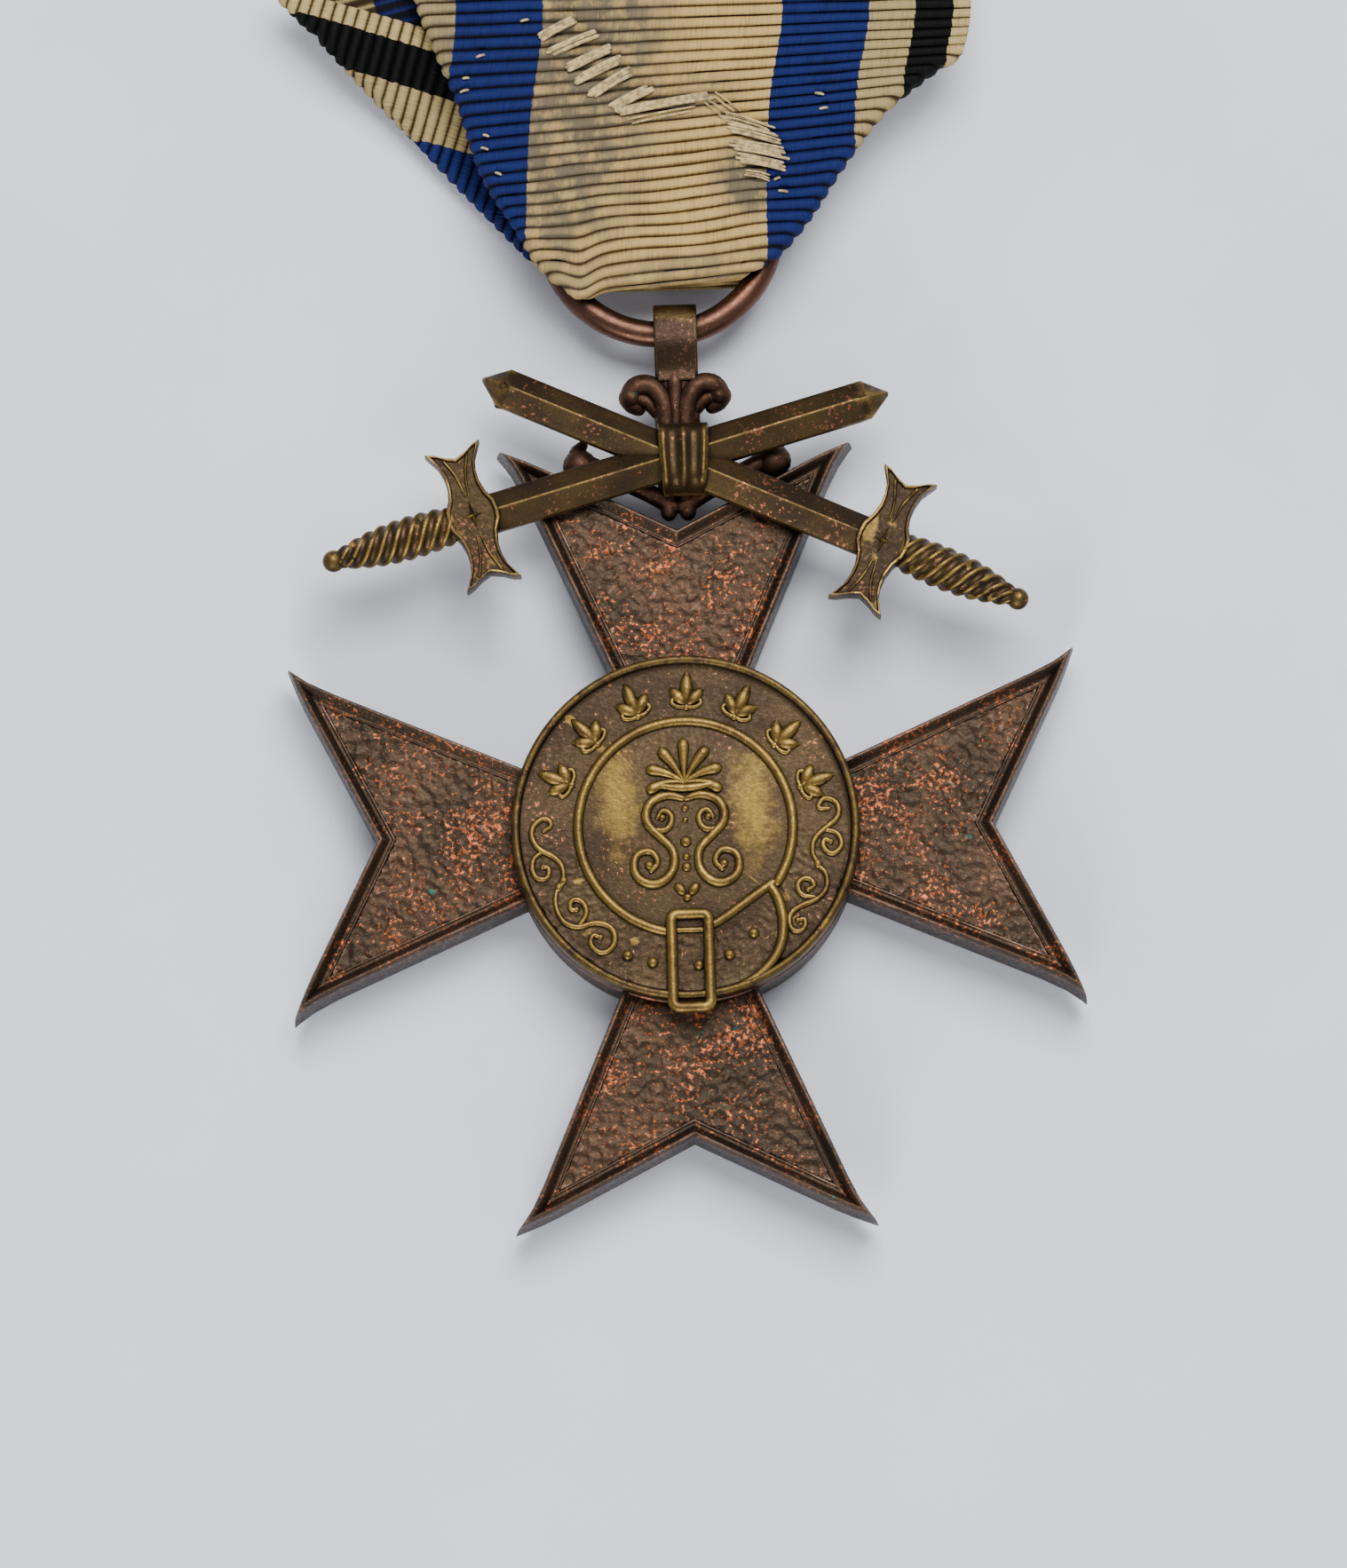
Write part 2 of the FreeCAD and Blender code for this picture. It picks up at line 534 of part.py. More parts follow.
def build_strap():
    """Build the copper strap that is bent over the ring and closed on the bracket's tongue."""
    layers = []
    for layer, radius in (("outer", "Sizes.eye_radius + Sizes.strap_sheet"),
                          ("inner", "Sizes.eye_radius")):
        bend = document.addObject("Part::Cylinder", f"strap_{layer}_bend")
        bind(bend, Radius=radius, Height="Sizes.strap_width")
        bend.Placement = FreeCAD.Placement(Vector(0, 0, 0), Rotation(Vector(0, 1, 0), 90))
        bend.setExpression("Placement.Base.x", "Sizes.strap_x - Sizes.strap_width / 2")
        bend.setExpression("Placement.Base.y", "Sizes.eye_y")
        bend.setExpression("Placement.Base.z", "Sizes.ring_height")
        limbs = document.addObject("Part::Box", f"strap_{layer}_limbs")
        bind(limbs, Length="Sizes.strap_width", Width="Sizes.eye_y - Sizes.strap_foot",
             Height=f"2 * ({radius})")
        limbs.setExpression("Placement.Base.x", "Sizes.strap_x - Sizes.strap_width / 2")
        limbs.setExpression("Placement.Base.y", "Sizes.strap_foot")
        limbs.setExpression("Placement.Base.z", f"Sizes.ring_height - ({radius})")
        whole = document.addObject("Part::MultiFuse", f"strap_{layer}")
        whole.Shapes = [bend, limbs]
        layers.append(whole)
    strap = document.addObject("Part::Cut", "strap_cut")
    strap.Label = "ring_strap"
    strap.Base, strap.Tool = layers
    nodes.append(strap)
    return strap


def build_ring():
    """Build the plain wire ring."""
    ring = document.addObject("Part::Torus", "ring_torus")
    ring.Label = "suspension_ring"
    bind(ring, Radius1="Sizes.ring_radius", Radius2="Sizes.ring_wire")
    ring.setExpression("Placement.Base.x", "Sizes.ring_x")
    ring.setExpression("Placement.Base.y", "Sizes.ring_y")
    ring.setExpression("Placement.Base.z", "Sizes.ring_height")
    nodes.append(ring)
    return ring


def prism(corners, low, high):
    """Raise a flat outline between two heights."""
    wire = Part.makePolygon([Vector(across, along, low) for across, along in (*corners, corners[0])])
    return Part.Face(wire).extrude(Vector(0, 0, high - low))


def side_band(stations, thick, left, right):
    """Sweep a strip of cloth across X; stations are its underside's Y and Z, top end last."""
    under = [Vector(left, along, height) for along, height in stations]
    over = [Vector(left, along, height + thick) for along, height in reversed(stations)]
    wire = Part.makePolygon(under + over + under[:1])
    return Part.Face(wire).extrude(Vector(right - left, 0, 0))


def build_ribbon():
    """Build the ribbon: two legs with folded edges, joined by the turn inside the ring."""
    cloth, top, fold = size("cloth"), size("ribbon_top"), size("fold_y")
    front, back, seat = size("front_height"), size("back_height"), size("seat_height")
    half = size("ribbon_width") / 2
    front_plan = [*FRONT_LEG_SIDE_RIGHT, (half, top), (-half, top), *FRONT_LEG_SIDE_LEFT]
    back_plan = [(BACK_LEG_FOLD[0], fold), (BACK_LEG_FOLD[1], fold), *BACK_LEG_RIGHT,
                 *((across, top) for across in BACK_LEG_TOP), *BACK_LEG_LEFT]
    wide = 2 * half
    front_leg = side_band([(fold - 1.0, front), (top, front)], cloth, -wide, wide)
    shape = front_leg.common(prism(front_plan, 0.0, front + 2.0))
    slope = [(fold, back), (size("rise_start"), back), (size("rise_end"), seat), (top, seat)]
    back_leg = side_band(slope, cloth, -wide, wide)
    parts = [back_leg.common(prism(back_plan, 0.0, front))]
    folded = side_band([(along, height + cloth) for along, height in slope], cloth, -wide, wide)
    parts.append(folded.common(prism(BACK_FLAP, 0.0, front)))
    parts.append(prism(LEFT_UNDERLAP, front - cloth, front))
    parts.append(prism(RIGHT_UNDERLAP, front - cloth, front))
    middle, reach = size("fold_x"), size("fold_width") / 2
    turn = Part.makeBox(2 * reach, cloth, front - back + cloth, Vector(middle - reach, fold, back))
    shape = shape.fuse(parts + [turn]).removeSplitter()
    ribbon = document.addObject("Part::Feature", "ribbon_cloth")
    ribbon.Label = "ribbon"
    ribbon.Shape = shape
    ribbon.Placement = FreeCAD.Placement()
    nodes.append(ribbon)
    return ribbon


def build_stitching():
    """Build the row of thread stitches that hold both legs to the brooch plate."""
    loops = []
    front = size("front_height") + size("cloth")
    start = size("stitch_x") - size("stitch_pitch") * (STITCH_COUNT - 1) / 2
    for index in range(STITCH_COUNT):
        stitch = document.addObject("Part::Cylinder", "stitch_%02d" % index)
        bind(stitch, Radius="Sizes.stitch_radius", Height="Sizes.stitch_length")
        across = start + index * size("stitch_pitch") - size("stitch_length") / 2
        place = Vector(across, size("plate_y"), front + size("stitch_radius"))
        stitch.Placement = FreeCAD.Placement(place, Rotation(Vector(0, 1, 0), 90))
        loops.append(stitch)
    group = document.addObject("Part::Compound", "stitch_row")
    group.Label = "ribbon_stitching"
    group.Links = loops
    nodes.append(group)
    return group


def build_plate():
    """Build the brooch plate."""
    body = new_body("brooch_plate")
    outline = add_sketch(body, "plate_outline", "XY_Plane", "Sizes.plate_back")
    add_polygon(outline, rectangle("Sizes.plate_x - Sizes.plate_length / 2",
                                   "Sizes.plate_y - Sizes.plate_width / 2",
                                   "Sizes.plate_x + Sizes.plate_length / 2",
                                   "Sizes.plate_y + Sizes.plate_width / 2"))
    pad(body, outline, "Sizes.plate_sheet")
    return body


def along_y(feature, across, along, height):
    """Lay a cylinder or cone along +Y, starting at a point given by expressions."""
    feature.Placement = FreeCAD.Placement(Vector(0, 0, 0), Rotation(X_AXIS, -90))
    feature.setExpression("Placement.Base.x", across)
    feature.setExpression("Placement.Base.y", along)
    feature.setExpression("Placement.Base.z", height)


def build_hinge():
    """Build the web and two ears under the plate that carry the hinge pin."""
    body = new_body("hinge_ears")
    inner = "(Sizes.eye_width / 2 + Sizes.ear_gap)"
    outer = f"({inner} + Sizes.ear_sheet)"
    left, right = "Sizes.hinge_x - Sizes.ear_half", "Sizes.hinge_x + Sizes.ear_half"
    web = add_sketch(body, "ear_web", "XY_Plane", "Sizes.plate_back - Sizes.web_sheet")
    add_polygon(web, rectangle(left, f"Sizes.plate_y - {outer}", right, f"Sizes.plate_y + {outer}"))
    pad(body, web, "Sizes.web_sheet")
    for side, low, high in (("near", f"-{outer}", f"-{inner}"), ("far", inner, outer)):
        ear = add_sketch(body, side + "_ear", "XY_Plane", "Sizes.needle_height - Sizes.ear_half")
        add_polygon(ear, rectangle(left, f"Sizes.plate_y + {low}", right, f"Sizes.plate_y + {high}"))
        pad(body, ear, "Sizes.plate_back - Sizes.needle_height + Sizes.ear_half")
    bore = add_sketch(body, "pin_bore", "XZ_Plane", f"-Sizes.plate_y - {outer}")
    add_circle(bore, "Sizes.hinge_x", "Sizes.needle_height", "Sizes.pin_radius")
    pocket(body, bore, f"2 * {outer}", reverse=True)
    return body


def build_hinge_pin():
    """Build the hinge pin, held in both ears."""
    pin = document.addObject("Part::Cylinder", "hinge_pin_rod")
    pin.Label = "hinge_pin"
    outer = "(Sizes.eye_width / 2 + Sizes.ear_gap + Sizes.ear_sheet)"
    bind(pin, Radius="Sizes.pin_radius", Height=f"2 * {outer}")
    along_y(pin, "Sizes.hinge_x", f"Sizes.plate_y - {outer}", "Sizes.needle_height")
    nodes.append(pin)
    return pin


def build_needle():
    """Build the needle: an eye on the hinge pin, a shaft and a long point."""
    eye = document.addObject("Part::Cylinder", "needle_eye")
    bind(eye, Radius="Sizes.eye_outer", Height="Sizes.eye_width")
    along_y(eye, "Sizes.hinge_x", "Sizes.plate_y - Sizes.eye_width / 2", "Sizes.needle_height")
    shaft = document.addObject("Part::Cylinder", "needle_shaft")
    bind(shaft, Radius="Sizes.needle_radius", Height="Sizes.needle_length - Sizes.needle_taper")
    point = document.addObject("Part::Cone", "needle_point")
    bind(point, Radius1="Sizes.needle_radius", Radius2="Sizes.needle_tip",
         Height="Sizes.needle_taper")
    taper = "Sizes.hinge_x + Sizes.needle_length - Sizes.needle_taper"
    for piece, start in ((shaft, "Sizes.hinge_x"), (point, taper)):
        piece.Placement = FreeCAD.Placement(Vector(0, 0, 0), Rotation(Vector(0, 1, 0), 90))
        piece.setExpression("Placement.Base.x", start)
        piece.setExpression("Placement.Base.y", "Sizes.plate_y")
        piece.setExpression("Placement.Base.z", "Sizes.needle_height")
    whole = document.addObject("Part::MultiFuse", "needle_blank")
    whole.Shapes = [eye, shaft, point]
    bore = document.addObject("Part::Cylinder", "needle_bore")
    bind(bore, Radius="Sizes.pin_radius + Sizes.pin_clearance", Height="2 * Sizes.eye_width")
    along_y(bore, "Sizes.hinge_x", "Sizes.plate_y - Sizes.eye_width", "Sizes.needle_height")
    needle = document.addObject("Part::Cut", "needle_cut")
    needle.Label = "needle"
    needle.Base = whole
    needle.Tool = bore
    nodes.append(needle)
    return needle


def build_catch():
    """Build the catch: a channel under the plate, open away from it."""
    body = new_body("needle_catch")
    slot = "(Sizes.needle_radius + Sizes.catch_gap)"
    outer = f"({slot} + Sizes.catch_wall)"
    foot = "Sizes.needle_height - Sizes.needle_radius"
    roof = f"Sizes.needle_height + {slot}"
    profile = add_sketch(body, "catch_profile", "YZ_Plane", "Sizes.catch_x")
    add_polygon(profile, ((f"Sizes.plate_y - {outer}", foot), (f"Sizes.plate_y - {slot}", foot),
                          (f"Sizes.plate_y - {slot}", roof), (f"Sizes.plate_y + {slot}", roof),
                          (f"Sizes.plate_y + {slot}", foot), (f"Sizes.plate_y + {outer}", foot),
                          (f"Sizes.plate_y + {outer}", "Sizes.plate_back"),
                          (f"Sizes.plate_y - {outer}", "Sizes.plate_back")))
    pad(body, profile, "Sizes.catch_length", middle=True)
    return body


def export_nodes():
    """Check every object and every node's shape, then write one STEP file per node."""
    document.recompute()
    for item in document.Objects:
        if {"Invalid", "Error"} & set(item.State):
            raise RuntimeError("%s did not compute" % item.Name)
    for node in nodes:
        if node.Shape.isNull() or not node.Shape.isValid():
            raise RuntimeError("%s has no valid shape" % node.Label)
    os.makedirs("parts", exist_ok=True)
    for node in nodes:
        node.Shape.exportStep("parts/%s.step" % node.Label)
        box = node.Shape.BoundBox
        print("%-20s %8.2f mm3  %d solids  x %.2f..%.2f  y %.2f..%.2f  z %.2f..%.2f" % (
            node.Label, node.Shape.Volume, len(node.Shape.Solids),
            box.XMin, box.XMax, box.YMin, box.YMax, box.ZMin, box.ZMax))


build_cross()
build_front_medallion()
build_rear_medallion()
build_pegs()
build_sword("sword_lower", "pommel_lower", "lean_lower", "lean_upper", lap_below=False)
build_sword("sword_upper", "pommel_upper", "lean_upper", "lean_lower", lap_below=True)
build_band()
build_bracket()
build_strap()
build_ring()
build_ribbon()
build_stitching()
build_plate()
build_hinge()
build_hinge_pin()
build_needle()
build_catch()
export_nodes()
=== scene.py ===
"""The looks of a military service medal on its ribbon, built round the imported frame.

Lengths in this file are in millimetres until a piece is finished: finish_piece() scales each mesh
to metres. +Z points out of the medal's face and +Y along the cross's axis towards the ribbon.
"""
import logging
import math
import random
from dataclasses import dataclass, replace
from enum import Enum
from typing import Callable, Optional, Sequence

import bmesh
import bpy
from mathutils import Matrix, Vector, noise


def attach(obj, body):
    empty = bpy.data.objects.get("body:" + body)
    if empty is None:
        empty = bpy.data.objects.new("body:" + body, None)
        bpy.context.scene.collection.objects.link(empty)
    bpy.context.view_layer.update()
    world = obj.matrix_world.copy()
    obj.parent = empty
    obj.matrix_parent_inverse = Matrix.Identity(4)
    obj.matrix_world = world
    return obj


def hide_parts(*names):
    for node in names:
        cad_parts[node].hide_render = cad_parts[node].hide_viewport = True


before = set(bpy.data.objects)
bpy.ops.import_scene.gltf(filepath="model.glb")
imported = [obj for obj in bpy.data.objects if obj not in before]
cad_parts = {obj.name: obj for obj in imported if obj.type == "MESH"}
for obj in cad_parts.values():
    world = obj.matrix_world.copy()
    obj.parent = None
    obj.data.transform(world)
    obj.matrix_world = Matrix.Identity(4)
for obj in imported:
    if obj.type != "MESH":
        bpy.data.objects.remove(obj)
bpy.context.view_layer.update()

MM = 0.001
# A wire's round end, from its tip inwards: reach past the end and width, as shares of the radius.
ROUND_END = ((1.0, 0.1), (0.9, 0.6))
SMOOTH = {"interpolation_type": "SMOOTHSTEP"}

logging.basicConfig(level=logging.INFO, format="%(name)s: %(message)s")
log = logging.getLogger("medal")

Point = tuple[float, float]
Station = tuple[float, float, float]


class Body(Enum):
    """The rigid bodies of the frame that the pieces made here ride on."""

    CROSS = "cross"
    RIBBON = "ribbon"


# ---------------------------------------------------------------------------------------------
# Colour and node helpers
# ---------------------------------------------------------------------------------------------

def to_linear(hex_colour: str) -> tuple[float, float, float, float]:
    """Turn an sRGB hex colour into linear RGBA.

    Args:
        hex_colour: six hex digits, such as "8a6b4f".

    Returns:
        The linear red, green, blue and an alpha of one.
    """
    channels = [int(hex_colour[place:place + 2], 16) / 255 for place in (0, 2, 4)]
    linear = [c / 12.92 if c <= 0.04045 else ((c + 0.055) / 1.055) ** 2.4 for c in channels]
    return (linear[0], linear[1], linear[2], 1.0)


def add_node(tree: bpy.types.NodeTree, kind: str, inputs: Optional[dict] = None,
             **settings) -> bpy.types.Node:
    """Add a shader node with its settings, constants and incoming links.

    Args:
        tree: the material's node tree.
        kind: the node's type name, without the ShaderNode prefix.
        inputs: input socket (name or index) to a constant, to an output socket, or to a node
            whose first working output is meant.
        **settings: attributes of the node itself.

    Returns:
        The new node.
    """
    node = tree.nodes.new("ShaderNode" + kind)
    for name, value in settings.items():
        setattr(node, name, value)
    for name, source in (inputs or {}).items():
        if isinstance(source, bpy.types.Node):
            source = next(socket for socket in source.outputs if socket.enabled)
        if isinstance(source, bpy.types.NodeSocket):
            tree.links.new(source, node.inputs[name])
        else:
            node.inputs[name].default_value = source
    return node


def new_material(name: str) -> tuple[bpy.types.Material, bpy.types.NodeTree, bpy.types.Node]:
    """Start a node material with an empty principled shader.

    Args:
        name: the material's name.

    Returns:
        The material, its tree and its principled shader.
    """
    material = bpy.data.materials.new(name)
    material.use_nodes = True
    tree = material.node_tree
    tree.nodes.clear()
    shader = add_node(tree, "BsdfPrincipled")
    add_node(tree, "OutputMaterial", {"Surface": shader})
    return material, tree, shader


def frequency(size_mm: float) -> float:
    """Give the scale of a noise on coordinates in metres whose features are about a given size."""
    return 1.0 / (size_mm * MM)


# ---------------------------------------------------------------------------------------------
# Finishes
# ---------------------------------------------------------------------------------------------

@dataclass(frozen=True)
class Patch:
    """A worn or stained place, or a painted highlight: its centre, its half sizes in millimetres and its
    strength.
    """

    across: float
    along: float
    half_width: float
    half_length: float
    strength: float


@dataclass(frozen=True)
class BronzeFinish:
    """Struck bronze under an old patina: dark in its hollows, bright on its worn edges and in any patches,
    which on the medallion are partly a painted highlight.
    """

    name: str
    base: str
    dark: str
    rub_and_highlight: str
    speckle: str
    speckle_share: float
    speckle_mm: float = 0.22
    rub: float = 0.6
    metallic: float = 0.92
    roughness: float = 0.46
    grain_mm: float = 0.16
    grain_depth: float = 0.25
    verdigris: float = 0.0
    patches: tuple[Patch, ...] = ()
    centre_speckle: float = 0.0
    wall: Point = (0.0, 0.0)
    grime: str = "1b140f"
    wall_grime: str = "17110d"
    green: str = "1f4a3d"

    def build(self) -> bpy.types.Material:
        """Make the material.

        Returns:
            The finished material.
        """
        material, tree, shader = new_material(self.name)
        place = add_node(tree, "TexCoord").outputs["Object"]
        broad = add_node(tree, "TexNoise", {
            "Vector": place, "Scale": frequency(4.5), "Detail": 4.0, "Roughness": 0.55})
        tone = add_node(tree, "MapRange", {"Value": broad, "From Min": 0.36, "From Max": 0.66}, **SMOOTH)
        colour = add_node(tree, "Mix", {
            "Factor": tone, 6: to_linear(self.base), 7: to_linear(self.dark)}, data_type="RGBA")
        fine = add_node(tree, "TexNoise", {
            "Vector": place, "Scale": frequency(self.speckle_mm), "Detail": 4.0, "Roughness": 0.6})
        flakes = self.add_flakes(tree, place, fine)
        colour = add_node(tree, "Mix", {
            "Factor": flakes, 6: colour, 7: to_linear(self.speckle)}, data_type="RGBA")
        colour = self.add_wear(tree, place, colour)
        if self.wall[1]:
            colour = self.add_wall_grime(tree, place, colour)
        if self.verdigris:
            spots = add_node(tree, "TexNoise", {
                "Vector": place, "Scale": frequency(1.1), "Detail": 3.0, "Roughness": 0.55})
            bloom = add_node(tree, "MapRange", {
                "Value": spots, "From Min": 0.725 - 0.02 * self.verdigris, "From Max": 0.76}, **SMOOTH)
            colour = add_node(tree, "Mix", {
                "Factor": bloom, 6: colour, 7: to_linear(self.green)}, data_type="RGBA")
        polish = add_node(tree, "MapRange", {
            "Value": fine, "From Min": 0.3, "From Max": 0.75, "To Min": self.roughness + 0.1,
            "To Max": self.roughness - 0.1}, **SMOOTH)
        pits = add_node(tree, "TexNoise", {
            "Vector": place, "Scale": frequency(self.grain_mm), "Detail": 3.0, "Roughness": 0.55})
        raised = add_node(tree, "Math", {0: flakes, 1: 0.25}, operation="MULTIPLY")
        surface = add_node(tree, "Math", {0: pits, 1: raised}, operation="ADD")
        bump = add_node(tree, "Bump", {
            "Height": surface, "Strength": self.grain_depth, "Distance": 0.08 * MM})
        tree.links.new(colour.outputs[2], shader.inputs["Base Color"])
        tree.links.new(polish.outputs["Result"], shader.inputs["Roughness"])
        tree.links.new(bump.outputs["Normal"], shader.inputs["Normal"])
        shader.inputs["Metallic"].default_value = self.metallic
        return material

    def add_flakes(self, tree: bpy.types.NodeTree, place: bpy.types.NodeSocket,
                   fine: bpy.types.Node) -> bpy.types.Node:
        """Pick out the flakes where the patina has come off, in drifts of a few millimetres.

        Args:
            tree: the node tree.
            place: the object coordinates.
            fine: the noise of the flakes' own size.

        Returns:
            The node of the flakes' mask.
        """
        drift = add_node(tree, "TexNoise", {
            "Vector": place, "Scale": frequency(2.0), "Detail": 2.0, "Roughness": 0.55})
        pull = add_node(tree, "Math", {0: drift, 1: 0.42}, operation="MULTIPLY")
        level = add_node(tree, "Math", {0: fine, 1: pull}, operation="ADD")
        if self.centre_speckle:
            flat = add_node(tree, "VectorMath", {0: place, 1: (1.0, 1.0, 0.0)}, operation="MULTIPLY")
            reach = add_node(tree, "VectorMath", {0: flat}, operation="LENGTH")
            gain = add_node(tree, "MapRange", {
                "Value": reach, "From Min": 10 * MM, "From Max": 20 * MM, "To Min": self.centre_speckle,
                "To Max": 0.0}, **SMOOTH)
            level = add_node(tree, "Math", {0: level, 1: gain}, operation="ADD")
        edge = 0.9 - 0.36 * self.speckle_share
        return add_node(tree, "MapRange", {
            "Value": level, "From Min": edge, "From Max": edge + 0.045}, **SMOOTH)

    def add_wear(self, tree: bpy.types.NodeTree, place: bpy.types.NodeSocket,
                 colour: bpy.types.Node) -> bpy.types.Node:
        """Brighten the worn raised edges and the given patches, which on the medallion are partly a painted
        highlight, and darken the hollows.

        Args:
            tree: the node tree.
            place: the object coordinates.
            colour: the patina's colour so far.

        Returns:
            The node of the worn colour.
        """
        gaps = add_node(tree, "TexNoise", {
            "Vector": place, "Scale": frequency(0.7), "Detail": 3.0, "Roughness": 0.55})
        breaks = add_node(tree, "MapRange", {"Value": gaps, "From Min": 0.28, "From Max": 0.55}, **SMOOTH)
        crest = add_node(tree, "MapRange", {
            "Value": add_node(tree, "NewGeometry").outputs["Pointiness"], "From Min": 0.514,
            "From Max": 0.566}, **SMOOTH)
        edges = add_node(tree, "Math", {0: crest, 1: breaks}, operation="MULTIPLY")
        rubbing = add_node(tree, "Math", {0: edges, 1: self.rub}, operation="MULTIPLY")
        colour = add_node(tree, "Mix", {
            "Factor": rubbing, 6: colour, 7: to_linear(self.rub_and_highlight)}, data_type="RGBA")
        # Bright patches: worn places, and on the medallion partly a painted highlight of its domed field.
        for patch in self.patches:
            spot = add_node(tree, "Mapping", {
                "Vector": place, "Location": (patch.across * MM, patch.along * MM, 0.0),
                "Scale": (patch.half_width * MM, patch.half_length * MM, 1.0)}, vector_type="TEXTURE")
            flat = add_node(tree, "VectorMath", {0: spot, 1: (1.0, 1.0, 0.0)}, operation="MULTIPLY")
            reach = add_node(tree, "VectorMath", {0: flat}, operation="LENGTH")
            tatter = add_node(tree, "TexNoise", {
                "Vector": place, "Scale": frequency(0.9), "Detail": 4.0, "Roughness": 0.55})
            shift = add_node(tree, "MapRange", {
                "Value": tatter, "From Min": 0.2, "From Max": 0.8, "To Min": 0.4, "To Max": -0.4}, **SMOOTH)
            ragged = add_node(tree, "Math", {0: reach, 1: shift}, operation="ADD")
            mask = add_node(tree, "MapRange", {
                "Value": ragged, "From Min": 0.1, "From Max": 1.2, "To Min": patch.strength,
                "To Max": 0.0}, **SMOOTH)
            colour = add_node(tree, "Mix", {
                "Factor": mask, 6: colour, 7: to_linear(self.rub_and_highlight)}, data_type="RGBA")
        hollow = add_node(tree, "AmbientOcclusion", {"Distance": 0.7 * MM}, samples=6)
        depth = add_node(tree, "MapRange", {
            "Value": hollow.outputs["AO"], "From Min": 0.35, "From Max": 0.9, "To Min": 0.85,
            "To Max": 0.0}, **SMOOTH)
        return add_node(tree, "Mix", {
            "Factor": depth, 6: colour, 7: to_linear(self.grime)}, data_type="RGBA")

    def add_wall_grime(self, tree: bpy.types.NodeTree, place: bpy.types.NodeSocket,
                       colour: bpy.types.Node) -> bpy.types.Node:
        """Darken the upright walls, which no hand rubs, between the wall's two heights.

        Args:
            tree: the node tree.
            place: the object coordinates.
            colour: the colour so far.

        Returns:
            The node of the darkened colour.
        """
        foot, brow = self.wall[0] * MM, self.wall[1] * MM
        height = add_node(tree, "SeparateXYZ", {"Vector": place}).outputs["Z"]
        start = add_node(tree, "MapRange", {
            "Value": height, "From Min": foot, "From Max": foot + 0.15 * MM}, **SMOOTH)
        end = add_node(tree, "MapRange", {
            "Value": height, "From Min": brow - 0.25 * MM, "From Max": brow, "To Min": 0.72,
            "To Max": 0.0}, **SMOOTH)
        band = add_node(tree, "Math", {0: start, 1: end}, operation="MULTIPLY")
        return add_node(tree, "Mix", {
            "Factor": band, 6: colour, 7: to_linear(self.wall_grime)}, data_type="RGBA")


@dataclass(frozen=True)
class SteelFinish:
    """Drawn and polished steel wire: grey, fairly smooth, with fine lines along it."""

    name: str
    base: str = "8d8f92"
    dull: str = "6c6a66"
    roughness: float = 0.3

    def build(self) -> bpy.types.Material:
        """Make the material.

        Returns:
            The finished material.
        """
        material, tree, shader = new_material(self.name)
        place = add_node(tree, "TexCoord").outputs["Object"]
        # Drawing lines 0.06 mm apart and 1.2 mm long, coarser than real ones, so that they show.
        drawn = add_node(tree, "Mapping", {"Vector": place, "Scale": (0.05, 1, 1)})
        lines = add_node(tree, "TexNoise", {
            "Vector": drawn, "Scale": frequency(0.06), "Detail": 2.0, "Roughness": 0.55})
        broad = add_node(tree, "TexNoise", {
            "Vector": place, "Scale": frequency(2.0), "Detail": 3.0, "Roughness": 0.55})
        tone = add_node(tree, "MapRange", {"Value": broad, "From Min": 0.3, "From Max": 0.7}, **SMOOTH)
        colour = add_node(tree, "Mix", {
            "Factor": tone, 6: to_linear(self.base), 7: to_linear(self.dull)}, data_type="RGBA")
        polish = add_node(tree, "MapRange", {
            "Value": lines, "From Min": 0.3, "From Max": 0.7, "To Min": self.roughness,
            "To Max": self.roughness + 0.15}, **SMOOTH)
        tree.links.new(colour.outputs[2], shader.inputs["Base Color"])
        tree.links.new(polish.outputs["Result"], shader.inputs["Roughness"])
        shader.inputs["Metallic"].default_value = 1.0
        return material


@dataclass(frozen=True)
class Stripe:
    """One coloured stripe of the ribbon, from its selvage to its inner side in millimetres."""

    colour: str
    width: float


